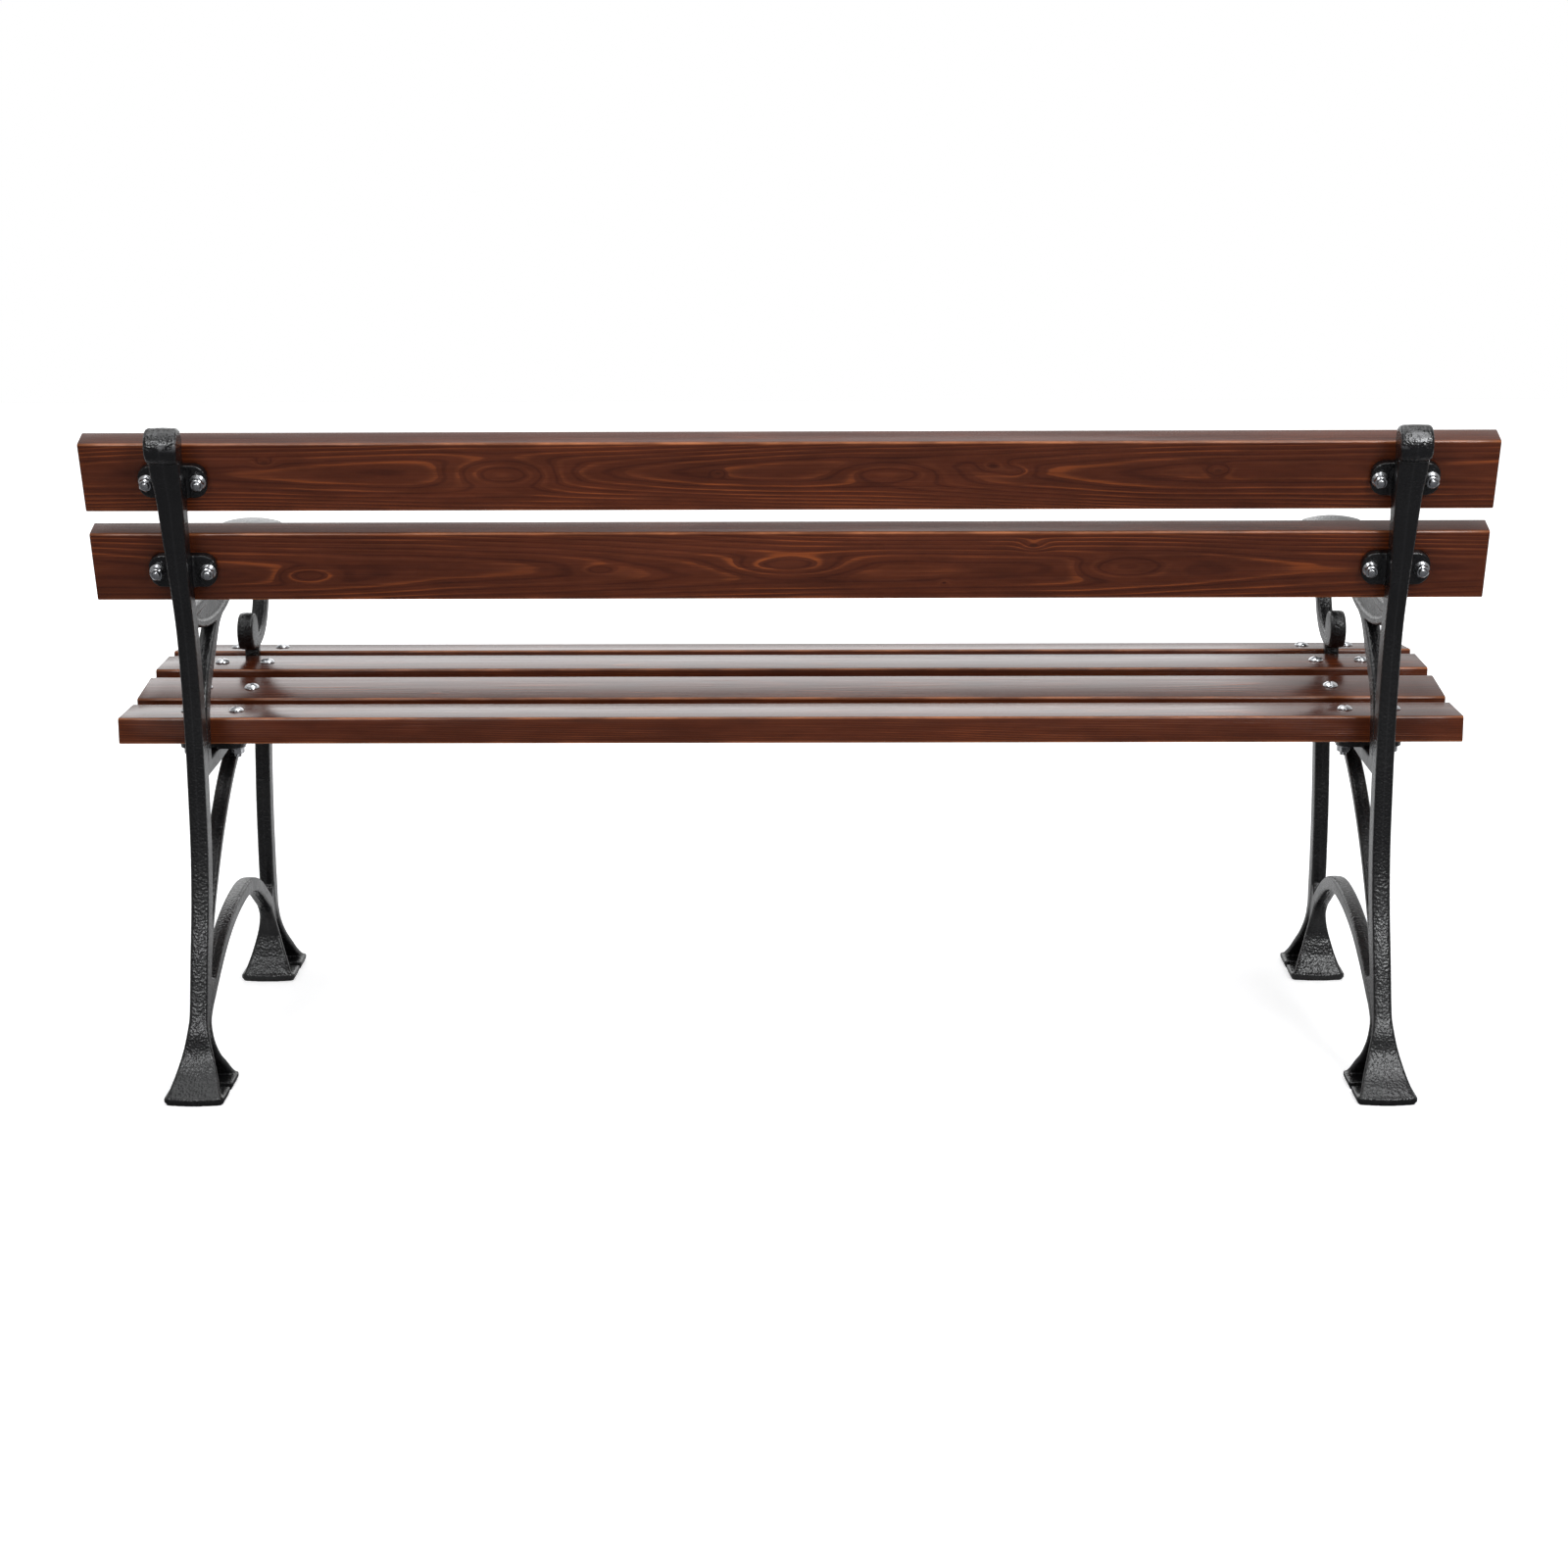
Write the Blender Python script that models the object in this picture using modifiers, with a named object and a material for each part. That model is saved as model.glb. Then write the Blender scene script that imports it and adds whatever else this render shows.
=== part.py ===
import bmesh
import bpy
import math
import numpy as np
from mathutils import Matrix, Vector

# Garden bench: two cast iron side frames carry two back slats and four seat slats.
# Metres, +Z up, X along the bench, its front towards -Y, origin on the ground below its middle.
# A place in the side view is (depth, height). Depth runs forward from the rear edge of the
# rear foot and height runs up from the ground.

# Wooden slats
SLAT_LENGTH = 1.500
SLAT_WIDTH = 0.080
SLAT_THICKNESS = 0.030
SLAT_EDGE_RADIUS = 0.003
SEAT_GAP = 0.024
BACK_GAP = 0.0258
SLAT_OVERHANG = 0.0985

# Faces of the seat lugs: the height of the highest, then drops below it and tilts in degrees,
# front to rear
SEAT_LUG_HEIGHT = 0.3846
SEAT_LUG_DROPS = [0.0020, 0.0000, 0.0090, 0.0160]
SEAT_LUG_TILTS = [-4.8, 1.3, 7.1, -0.3]
BACK_LOWER_RECLINE = 17.0
BACK_UPPER_RECLINE = 18.6

# Where the legs and the slats stand in the side view
REAR_LEG_DEPTH = 0.110
REAR_SEAT_GAP = 0.058
BACK_SETBACK = 0.016
FRONT_FOOT_STEP = 0.002

# Lugs that the slats are bolted to
LUG_DEPTH = 0.038
LUG_THICKNESS = 0.010
LUG_CORNER_RADIUS = 0.012
LUG_END = 0.0095
NUT_CLEARANCE = 0.0008

# Bars of the casting
BAR_WIDTH = 0.018
RAIL_WIDTH = 0.0165
BRACE_WIDTH = 0.0176
LEG_WIDTH = 0.0184
UPRIGHT_WIDTH = 0.020
UPRIGHT_THICKNESS = 0.028
STRUT_WIDTH = 0.0172
ARM_WIDTH = 0.0178
RIM_WIDTH = 0.0170
RIM_THICKNESS = 0.009
STUB_WIDTH = 0.0168
STUB_THICKNESS = 0.016
WEB_WIDTH = 0.012
EDGE_BEVEL = 0.002
PARTING_RISE = 0.0008
RAIL_THICKNESS = 0.020
BRACE_THICKNESS = 0.012
LEG_THICKNESS = 0.026
ARCH_THICKNESS = 0.018
ARM_THICKNESS = 0.013
SUPPORT_THICKNESS = 0.018
STRUT_THICKNESS = 0.024

# Feet
FOOT_WIDTH = 0.066
FOOT_LENGTH = 0.104
FOOT_PLATE_THICKNESS = 0.009
FOOT_BASE_THICKNESS = 0.009
FOOT_CORNER_RADIUS = 0.003
FOOT_WEB_WIDTH = 0.008
CROTCH_WIDTH = 0.0152
FLARE_HEIGHT = 0.085
FLARE_POWER = 1.45
ANCHOR_SLOT_WIDTH = 0.013
ANCHOR_SLOT_LENGTH = 0.020

# Arm rest, scroll and top knob
ARM_RISE = 0.1564
ARM_DROP = 0.0391
ARM_CLEARANCE = 0.004
ARM_WEB_DEPTH = 0.0425
PALM_WIDTH = 0.068
PALM_CROWN = 0.0045
PALM_REACH = 0.084
SCROLL_RADIUS = 0.0225
SCROLL_WIDTH = 0.019
SCROLL_CLEARANCE = 0.0109
SCROLL_SETBACK = 0.0265
KNOB_RADIUS = 0.020
KNOB_WIDTH = 0.0344
KNOB_ABOVE_SLAT = 0.0137
KNOB_SETBACK = 0.0343
ARCH_HEIGHT = 0.156

# Side curves of a foot: shares of the foot's length and of the flare's height
REAR_HEEL_SHARES = [(0.048, 0.059), (0.134, 0.159), (0.244, 0.272), (0.322, 0.406), (0.387, 0.556)]
REAR_TOE_SHARES = [(0.930, 0.059), (0.869, 0.126), (0.759, 0.294), (0.673, 0.406), (0.620, 0.649)]
FRONT_HEEL_SHARES = [(0.048, 0.059), (0.094, 0.172), (0.149, 0.291), (0.188, 0.465), (0.223, 0.659),
                     (0.207, 0.841)]
FRONT_TOE_SHARES = [(0.915, 0.059), (0.855, 0.113), (0.788, 0.176), (0.669, 0.356), (0.514, 0.600)]

# Side curve of each bar: shares of its reach and of its rise, then of its thickness or width
THROAT_SHARE = 0.457
REAR_LEG_SHARES = [
    (0.000, 0.1187, 0.464), (0.131, 0.1400, 0.643), (0.248, 0.1641, 0.804), (0.360, 0.1920, 0.929),
    (0.520, 0.2443, 1.000), (0.808, 0.3403, 1.000), (1.000, 0.4538, 1.000), (1.032, 0.5585, 1.000),
    (1.008, 0.6807, 1.000), (0.896, 0.8029, 1.000), (0.696, 0.9076, 1.000),
]
FRONT_LEG_SHARE = 0.327
FRONT_LEG_SHARES = [
    (0.443, 0.1905, 0.462), (0.415, 0.2371, 0.673), (0.370, 0.2840, 0.904), (0.341, 0.3446, 1.000),
    (0.327, 0.4687, 1.000), (0.341, 0.6203, 1.000), (0.394, 0.7582, 1.000), (0.447, 0.8823, 1.000),
]
ARCH_START_SHARES = [(0.684, 0.474, 0.639), (0.828, 0.550, 0.778)]
ARCH_SHARES = [
    (0.000, 0.641, 0.917), (0.102, 0.769, 1.000), (0.228, 0.891, 1.000), (0.355, 0.965, 1.000),
    (0.482, 1.000, 1.000), (0.609, 0.997, 1.000), (0.736, 0.923, 1.000), (0.863, 0.758, 1.000),
]
ARCH_END_SHARES = [(0.087, 0.631, 0.917), (0.168, 0.545, 0.750)]
BRACE_SHARES = [
    (-0.088, 0.341), (-0.040, 0.396), (0.000, 0.453), (0.052, 0.513), (0.141, 0.597), (0.245, 0.682),
    (0.363, 0.761), (0.487, 0.831), (0.614, 0.884), (0.761, 0.927), (1.000, 1.000),
]
STRUT_SHARES = [
    (0.300, 0.000, 1.000), (0.310, 0.192, 1.000), (0.345, 0.398, 1.000), (0.450, 0.552, 1.000),
    (0.655, 0.693, 1.000), (0.890, 0.827, 0.920), (1.190, 0.971, 0.650),
]
ARM_SHARES = [
    (-0.070, 0.000, 0.000), (0.070, 0.026, 0.000), (0.223, 0.169, 0.000), (0.419, 0.450, 0.000),
    (0.615, 0.680, 0.000), (0.754, 0.808, 0.084), (0.866, 0.885, 0.292), (0.964, 0.987, 0.755),
]
PALM_SHARES = [(0.262, 0.000, 1.000), (0.619, 0.032, 0.959), (0.869, 0.108, 0.701), (1.000, 0.237, 0.292)]
SUPPORT_SHARES = [
    (1.000, 0.396, 0.833), (0.923, 0.576, 1.000), (0.810, 0.719, 1.000), (0.661, 0.849, 1.000),
    (0.458, 0.935, 1.000), (0.226, 0.982, 1.000), (0.000, 1.000, 0.917),
]
RIM_SHARES = [
    (-0.034, 0.256), (0.067, 0.492), (0.168, 0.694), (0.279, 0.878), (0.405, 1.000), (0.536, 0.929),
    (0.656, 0.612), (0.810, 0.214),
]
HEAD_SHARES = [(0.346, 1.00), (0.650, 1.00), (0.840, 1.12)]

# Mushroom head bolts and flange nuts
BOLT_DIAMETER = 0.008
HEAD_DIAMETER = 0.017
HEAD_HEIGHT = 0.0045
HEAD_SLOT_WIDTH = 0.0022
HEAD_SLOT_DEPTH = 0.0018
NUT_ACROSS_FLATS = 0.013
NUT_HEIGHT = 0.008
NUT_FLANGE_DIAMETER = 0.018
NUT_FLANGE_HEIGHT = 0.0026
BOLT_END = 0.004

# Clearances and facets
CONTACT_GAP = 0.0003
HOLE_CLEARANCE = 0.0005
ROUND_SIDES = 10
ROLL_SIDES = 18
FASTENER_SIDES = 12
TURN_PER_RING = math.radians(15)
OVERLAP = 0.002

# Worked out from the sizes above
frame_spacing = SLAT_LENGTH - 2 * SLAT_OVERHANG
bolt_spacing = KNOB_WIDTH + NUT_FLANGE_DIAMETER + 2 * NUT_CLEARANCE
lug_length = bolt_spacing + 2 * LUG_END
seat_pitch = SLAT_WIDTH + SEAT_GAP
back_pitch = SLAT_WIDTH + BACK_GAP
rear_seat_depth = REAR_LEG_DEPTH + REAR_SEAT_GAP + SLAT_WIDTH / 2
seat_depths = [rear_seat_depth + seat_pitch * step for step in reversed(range(len(SEAT_LUG_DROPS)))]
front_gap_depth = (seat_depths[0] + seat_depths[1]) / 2
front_foot_depth = front_gap_depth + FRONT_FOOT_STEP
front_leg_depth = front_foot_depth + FRONT_LEG_SHARE * FOOT_LENGTH
seat_top = SEAT_LUG_HEIGHT + SLAT_THICKNESS
arm_height = seat_top + ARM_RISE
arm_root_height = arm_height - ARM_DROP
scroll_depth = front_gap_depth - SCROLL_SETBACK
scroll_height = seat_top + SCROLL_CLEARANCE + SCROLL_RADIUS
support_base = scroll_height - SCROLL_RADIUS * 0.71
back_lower_tilt = math.radians(BACK_LOWER_RECLINE)
back_lower_depth = REAR_LEG_DEPTH - BACK_SETBACK
back_slat_edge = arm_root_height + ARM_THICKNESS / 2 + ARM_CLEARANCE
back_lower_height = back_slat_edge + SLAT_WIDTH / 2 * math.cos(back_lower_tilt)
bolt_radius = BOLT_DIAMETER / 2
hole_radius = bolt_radius + HOLE_CLEARANCE
bolt_length = SLAT_THICKNESS + LUG_THICKNESS + NUT_HEIGHT + 3 * CONTACT_GAP + BOLT_END


def seat_pads():
    """Faces of the seat lugs as (depth, height, tilt), front to rear."""
    pads = {}
    for number, depth in enumerate(seat_depths):
        height = SEAT_LUG_HEIGHT - SEAT_LUG_DROPS[number]
        pads["seat_slat_%d" % (number + 1)] = (depth, height, math.radians(SEAT_LUG_TILTS[number]))
    return pads


def back_pads():
    """Faces of the back lugs as (depth, height, tilt)."""
    mean = math.radians((BACK_LOWER_RECLINE + BACK_UPPER_RECLINE) / 2)
    upper_depth = back_lower_depth - back_pitch * math.sin(mean)
    upper_height = back_lower_height + back_pitch * math.cos(mean)
    upright_angle = math.radians(90)
    return {
        "back_slat_lower": (back_lower_depth, back_lower_height, back_lower_tilt - upright_angle),
        "back_slat_upper": (upper_depth, upper_height, math.radians(BACK_UPPER_RECLINE) - upright_angle),
    }


def below_pad(pad, distance, rise=0.0):
    """Place behind a pad's face and up along it from its middle, as (depth, height)."""
    depth, height, tilt = pad
    behind = (distance * math.sin(tilt), -distance * math.cos(tilt))
    along = (-rise * math.cos(tilt), -rise * math.sin(tilt))
    return depth + behind[0] + along[0], height + behind[1] + along[1]


knob_rise = SLAT_WIDTH / 2 + KNOB_ABOVE_SLAT
knob_depth, knob_height = below_pad(back_pads()["back_slat_upper"], KNOB_SETBACK, knob_rise)
depth_middle = (front_foot_depth + FOOT_LENGTH + knob_depth - KNOB_RADIUS) / 2


def world(depth, height, across=0.0):
    return Vector((across, depth_middle - depth, height))


def pad_matrix(depth, height, tilt):
    """Frame on a lug's face: X along the bench, Y rearward or up, Z out of the casting."""
    return Matrix.Translation(world(depth, height)) @ Matrix.Rotation(-tilt, 4, "X")


def clear_scene():
    for item in list(bpy.data.objects):
        bpy.data.objects.remove(item, do_unlink=True)


def new_collection(name):
    collection = bpy.data.collections.new(name)
    bpy.context.scene.collection.children.link(collection)
    return collection


def new_material(name, colour, roughness, metallic):
    material = bpy.data.materials.new(name)
    material.use_nodes = True
    shader = material.node_tree.nodes["Principled BSDF"]
    shader.inputs["Base Color"].default_value = (*colour, 1.0)
    shader.inputs["Roughness"].default_value = roughness
    shader.inputs["Metallic"].default_value = metallic
    material.diffuse_color = (*colour, 1.0)
    return material


def new_object(name, mesh, collection, material=None):
    item = bpy.data.objects.new(name, mesh)
    collection.objects.link(item)
    if material and not mesh.materials:
        mesh.materials.append(material)
    return item


def mesh_from(name, shape):
    bmesh.ops.recalc_face_normals(shape, faces=shape.faces)
    mesh = bpy.data.meshes.new(name)
    shape.to_mesh(mesh)
    shape.free()
    return mesh


def bake(item, name):
    """Evaluated mesh of an object, its modifiers applied and its loose caps welded."""
    depsgraph = bpy.context.evaluated_depsgraph_get()
    mesh = bpy.data.meshes.new_from_object(item.evaluated_get(depsgraph))
    mesh.name = name
    shape = bmesh.new()
    shape.from_mesh(mesh)
    bmesh.ops.remove_doubles(shape, verts=shape.verts, dist=0.00001)
    shape.to_mesh(mesh)
    shape.free()
    return mesh


def combine(base, tools, operation, name):
    """One mesh from a base and tools joined to it or cut from it, which are then removed."""
    for tool in tools:
        modifier = base.modifiers.new(tool.name, "BOOLEAN")
        modifier.operation = operation
        modifier.solver = "EXACT"
        modifier.object = tool
    mesh = bake(base, name)
    for item in [base, *tools]:
        bpy.data.objects.remove(item, do_unlink=True)
    return mesh


def shade_round(mesh, angle=35):
    mesh.shade_smooth()
    mesh.set_sharp_from_angle(angle=math.radians(angle))


def smooth_route(stations):
    """Rings along a cubic through every station, closer together where the bar turns."""
    values = np.array(stations, dtype=float)
    chords = np.linalg.norm(np.diff(values[:, :2], axis=0), axis=1)
    run = np.concatenate(([0.0], np.cumsum(chords)))
    slopes = np.gradient(values, run, axis=0)
    rings = []
    for index, chord in enumerate(chords):
        start, end = values[index], values[index + 1]
        leave, arrive = slopes[index] * chord, slopes[index + 1] * chord
        cosine = np.dot(leave[:2], arrive[:2]) / np.linalg.norm(leave[:2]) / np.linalg.norm(arrive[:2])
        steps = max(1, math.ceil(math.acos(min(1.0, cosine)) / TURN_PER_RING))
        for step in range(steps):
            t = step / steps
            place = (2 * t**3 - 3 * t**2 + 1) * start + (t**3 - 2 * t**2 + t) * leave
            place = place + (3 * t**2 - 2 * t**3) * end + (t**3 - t**2) * arrive
            heading = (6 * t**2 - 6 * t) * (start - end) + (3 * t**2 - 4 * t + 1) * leave
            heading = heading + (3 * t**2 - 2 * t) * arrive
            rings.append((place, heading[:2]))
    rings.append((values[-1], slopes[-1][:2]))
    return rings


def bar_section(width, thickness):
    """A cast bar's section: a low ridge on the parting plane and bevelled edges."""
    face = thickness / 2 - PARTING_RISE
    bevel = min(EDGE_BEVEL, face / 3)
    half = [
        (0.0, thickness / 2),
        (width / 2 - bevel, face),
        (width / 2, face - bevel),
        (width / 2, bevel - face),
        (width / 2 - bevel, -face),
    ]
    return half + [(-across, -rise) for across, rise in half]


def palm_section(width, thickness):
    """Section of the arm rest: where it widens its top and underside are crowned."""
    crown = PALM_CROWN * (width - BAR_WIDTH) / (PALM_WIDTH - BAR_WIDTH)
    side = width / 2
    bevel = min(EDGE_BEVEL, thickness / 4)
    top = [
        (side, bevel - thickness / 2 - crown),
        (side, thickness / 2 - bevel - crown),
        (side - bevel, thickness / 2 - crown),
        (side / 2, thickness / 2 - crown / 4),
    ]
    mirrored = [(-across, rise) for across, rise in reversed(top)]
    edge_rise = -thickness / 2 - crown
    underside = [(bevel - side, edge_rise), (0.0, -thickness / 2), (side - bevel, edge_rise)]
    return top + [(0.0, thickness / 2)] + mirrored + underside


def cast_bar(name, stations, section=bar_section):
    """Bar lofted through stations of (depth, height, width, thickness)."""
    shape = bmesh.new()
    loops = []
    for (depth, height, width, thickness), heading in smooth_route(stations):
        heading = heading / np.linalg.norm(heading)
        loop = []
        for across, rise in section(width, thickness):
            spot = world(depth - heading[1] * rise, height + heading[0] * rise, across)
            loop.append(shape.verts.new(spot))
        loops.append(loop)
    for near, far in zip(loops, loops[1:]):
        for index in range(len(near)):
            following = (index + 1) % len(near)
            shape.faces.new((near[index], near[following], far[following], far[index]))
    shape.faces.new(loops[0])
    shape.faces.new(loops[-1])
    return new_object(name, mesh_from(name, shape), casting_steps)


def plate(name, outline, thickness, matrix):
    """Flat plate of one outline, centred on the XY plane of its matrix."""
    curve = bpy.data.curves.new(name, "CURVE")
    curve.dimensions = "2D"
    curve.fill_mode = "BOTH"
    curve.extrude = thickness / 2
    spline = curve.splines.new("POLY")
    spline.points.add(len(outline) - 1)
    for point, (x, y) in zip(spline.points, outline):
        point.co = (x, y, 0.0, 1.0)
    spline.use_cyclic_u = True
    item = new_object(name, curve, casting_steps)
    mesh = bake(item, name)
    mesh.transform(matrix)
    bpy.data.objects.remove(item, do_unlink=True)
    return new_object(name, mesh, casting_steps)


def rounded_rectangle(length, width, radius, sides=3):
    outline = []
    corners = [(1, 1, 0), (-1, 1, 90), (-1, -1, 180), (1, -1, 270)]
    for sign_x, sign_y, start in corners:
        for step in range(sides + 1):
            angle = math.radians(start + 90 * step / sides)
            x = sign_x * (length / 2 - radius) + radius * math.cos(angle)
            y = sign_y * (width / 2 - radius) + radius * math.sin(angle)
            outline.append((x, y))
    return outline


def turned(name, profile, steps, matrix=Matrix()):
    """Solid turned about Z from a profile of (radius, height), top to bottom."""
    mesh = bpy.data.meshes.new(name)
    points = [(radius, 0.0, height) for radius, height in profile]
    edges = [(index, index + 1) for index in range(len(points) - 1)]
    mesh.from_pydata(points, edges, [])
    item = new_object(name, mesh, casting_steps)
    screw = item.modifiers.new("Screw", "SCREW")
    screw.steps = steps
    screw.render_steps = steps
    screw.use_merge_vertices = True
    screw.merge_threshold = 0.00001
    mesh = bake(item, name)
    mesh.transform(matrix)
    bpy.data.objects.remove(item, do_unlink=True)
    return new_object(name, mesh, casting_steps)


def cylinders(name, radius, length, places, matrix=Matrix()):
    """Cutter of one or more round bars along Z at places of (x, y, z)."""
    shape = bmesh.new()
    for place in places:
        bmesh.ops.create_cone(
            shape, cap_ends=True, segments=ROUND_SIDES, radius1=radius, radius2=radius,
            depth=length, matrix=matrix @ Matrix.Translation(place))
    item = new_object(name, mesh_from(name, shape), cutters)
    item.hide_render = True
    item.display_type = "WIRE"
    return item


def foot_width(height, width):
    """Width of a leg at a height: it flares towards the ground."""
    share = max(0.0, 1 - height / FLARE_HEIGHT) ** FLARE_POWER
    return width + (FOOT_WIDTH - width) * share


def flared(stations, width):
    return [(depth, height, foot_width(height, width), thick) for depth, height, thick in stations]


def foot_plate(foot_depth, curve):
    """Stations of a foot's heel or toe plate."""
    return [(foot_depth + reach * FOOT_LENGTH, rise * FLARE_HEIGHT, FOOT_PLATE_THICKNESS)
            for reach, rise in curve]


def between(start, end, share):
    return tuple(a + share * (b - a) for a, b in zip(start, end))


def rear_leg_stations():
    """Rear leg from the throat of its foot to the lower back slat: (depth, height, thickness)."""
    throat = THROAT_SHARE * FOOT_LENGTH
    rise = below_pad(back_pads()["back_slat_lower"], upright_behind())[1]
    return [(throat + reach * (REAR_LEG_DEPTH - throat), share * rise, thick * UPRIGHT_THICKNESS)
            for reach, share, thick in REAR_LEG_SHARES]


def upright_behind():
    """Distance from a back lug's face to the middle of the upright behind it."""
    return LUG_THICKNESS + UPRIGHT_THICKNESS / 2 - EDGE_BEVEL / 2


def rear_upright():
    """Rear leg and back support: it leans forward to the seat, then back behind the slats."""
    pads = back_pads()
    lower = below_pad(pads["back_slat_lower"], upright_behind())
    upper = below_pad(pads["back_slat_upper"], upright_behind())
    neck_behind, neck_rise = KNOB_SETBACK - KNOB_RADIUS * 0.2, knob_rise - KNOB_RADIUS * 1.2
    neck = below_pad(pads["back_slat_upper"], neck_behind, neck_rise)
    extra = KNOB_WIDTH - UPRIGHT_WIDTH
    stations = flared(foot_plate(0.0, REAR_HEEL_SHARES) + rear_leg_stations(), UPRIGHT_WIDTH)
    stations.append((*lower, UPRIGHT_WIDTH + extra * 0.1, UPRIGHT_THICKNESS))
    for spot, (widening, thick) in zip((between(lower, upper, 0.5), upper, neck), HEAD_SHARES):
        stations.append((*spot, UPRIGHT_WIDTH + extra * widening, UPRIGHT_THICKNESS * thick))
    stations.append((knob_depth, knob_height, KNOB_WIDTH - EDGE_BEVEL / 2, KNOB_RADIUS * 1.8))
    return cast_bar("rear_upright", stations)


def roll(name, depth, height, radius, width):
    """Solid roll across the frame, with a low parting ridge round its rim."""
    face = radius - PARTING_RISE
    profile = [
        (0.0, width / 2),
        (face - EDGE_BEVEL, width / 2),
        (face, width / 2 - EDGE_BEVEL),
        (radius, 0.0),
        (face, EDGE_BEVEL - width / 2),
        (face - EDGE_BEVEL, -width / 2),
        (0.0, -width / 2),
    ]
    matrix = Matrix.Translation(world(depth, height)) @ Matrix.Rotation(math.radians(90), 4, "Y")
    return turned(name, profile, ROLL_SIDES, matrix)


def along_span(share):
    """Depth at a share of the way from the rear leg to the front leg."""
    return REAR_LEG_DEPTH + share * (front_leg_depth - REAR_LEG_DEPTH)


def arch_stations():
    """Arch over the open space, between the two feet: (depth, height, thickness)."""
    route = [(reach * FOOT_LENGTH, rise, thick) for reach, rise, thick in ARCH_START_SHARES]
    route += [(along_span(reach), rise, thick) for reach, rise, thick in ARCH_SHARES]
    route += [(front_foot_depth + reach * FOOT_LENGTH, rise, thick)
              for reach, rise, thick in ARCH_END_SHARES]
    return [(depth, rise * ARCH_HEIGHT, thick * ARCH_THICKNESS) for depth, rise, thick in route]


def arch():
    """Arch from the rear foot's toe plate to the front foot's heel plate."""
    stations = foot_plate(0.0, REAR_TOE_SHARES) + arch_stations()
    stations += reversed(foot_plate(front_foot_depth, FRONT_HEEL_SHARES))
    return cast_bar("arch", flared(stations, BAR_WIDTH))


def front_leg_stations():
    """Front leg from the throat of its foot up to the seat rail: (depth, height, thickness)."""
    rail = below_pad(seat_pads()["seat_slat_1"], LUG_THICKNESS + RAIL_THICKNESS / 2)
    stations = [(front_foot_depth + reach * FOOT_LENGTH, rise * rail[1], thick * LEG_THICKNESS)
                for reach, rise, thick in FRONT_LEG_SHARES]
    return stations + [(rail[0] - OVERLAP, rail[1], LEG_THICKNESS)]


def front_leg():
    stations = foot_plate(front_foot_depth, FRONT_TOE_SHARES) + front_leg_stations()
    return cast_bar("front_leg", flared(stations, LEG_WIDTH))


def rail_spots(drop):
    spots = [below_pad(pad, drop) for pad in seat_pads().values()]
    spots.reverse()
    return spots


def seat_rail():
    """Rail below the seat lugs, from the upright to the front."""
    spots = rail_spots(LUG_THICKNESS + RAIL_THICKNESS / 2 - OVERLAP)
    rear, front = spots[0], spots[-1]
    root = (REAR_LEG_DEPTH, rear[1] - OVERLAP * 0.75)
    nose = (front[0] + LUG_DEPTH / 2, front[1] - RAIL_THICKNESS * 0.22)
    route = [root, between(root, rear, 0.5), *spots, nose]
    return cast_bar("seat_rail", [(*spot, RAIL_WIDTH, RAIL_THICKNESS) for spot in route])


def brace():
    """Curved brace from the rear leg up to the seat rail."""
    end = below_pad(seat_pads()["seat_slat_2"], LUG_THICKNESS + RAIL_THICKNESS - BRACE_THICKNESS)
    route = [(REAR_LEG_DEPTH + reach * (end[0] - REAR_LEG_DEPTH), rise * end[1])
             for reach, rise in BRACE_SHARES]
    return cast_bar("brace", [(*spot, BRACE_WIDTH, BRACE_THICKNESS) for spot in route])


def arm_stations():
    """Arm rest from the upright, over the palm rest and down its support to the scroll."""
    reach_back = front_gap_depth - REAR_LEG_DEPTH
    drop = arm_height - support_base
    palm = PALM_WIDTH - ARM_WIDTH
    stations = [(REAR_LEG_DEPTH + reach * reach_back, arm_root_height + rise * ARM_DROP,
                 ARM_WIDTH + palm * widening, ARM_THICKNESS) for reach, rise, widening in ARM_SHARES]
    stations += [(front_gap_depth + reach * PALM_REACH, arm_height - fall * drop,
                  ARM_WIDTH + palm * widening, ARM_THICKNESS) for reach, fall, widening in PALM_SHARES]
    stations += [(front_gap_depth + reach * PALM_REACH, arm_height - fall * drop,
                  BAR_WIDTH, thick * SUPPORT_THICKNESS) for reach, fall, thick in SUPPORT_SHARES]
    curl = (scroll_depth, scroll_height - SCROLL_RADIUS * 0.62, BAR_WIDTH, SUPPORT_THICKNESS * 0.83)
    return stations + [curl]


def rim_stations():
    """Lower rim of the arm rest's web, which hangs below the upper bar and runs into it."""
    upper = np.array(arm_stations())[:len(ARM_SHARES)]
    stations = []
    for reach, hang in RIM_SHARES:
        depth = REAR_LEG_DEPTH + reach * (front_gap_depth - REAR_LEG_DEPTH)
        height = float(np.interp(depth, upper[:, 0], upper[:, 1])) - hang * ARM_WEB_DEPTH
        stations.append((depth, height, RIM_WIDTH, RIM_THICKNESS))
    return stations


def strut():
    """Strut from the upright at the seat, up and forward until it runs into the arm's rim."""
    rim = rim_stations()
    foot = rail_spots(LUG_THICKNESS + RAIL_THICKNESS / 2)[0][1]
    low, end = rim[3], rim[4]
    stations = [(REAR_LEG_DEPTH + reach * (low[0] - REAR_LEG_DEPTH), foot + rise * (low[1] - foot),
                 STRUT_WIDTH, thick * STRUT_THICKNESS) for reach, rise, thick in STRUT_SHARES]
    stations.append((end[0] + OVERLAP * 2, end[1] + OVERLAP, STRUT_WIDTH, RIM_THICKNESS))
    return cast_bar("strut", stations)


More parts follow.
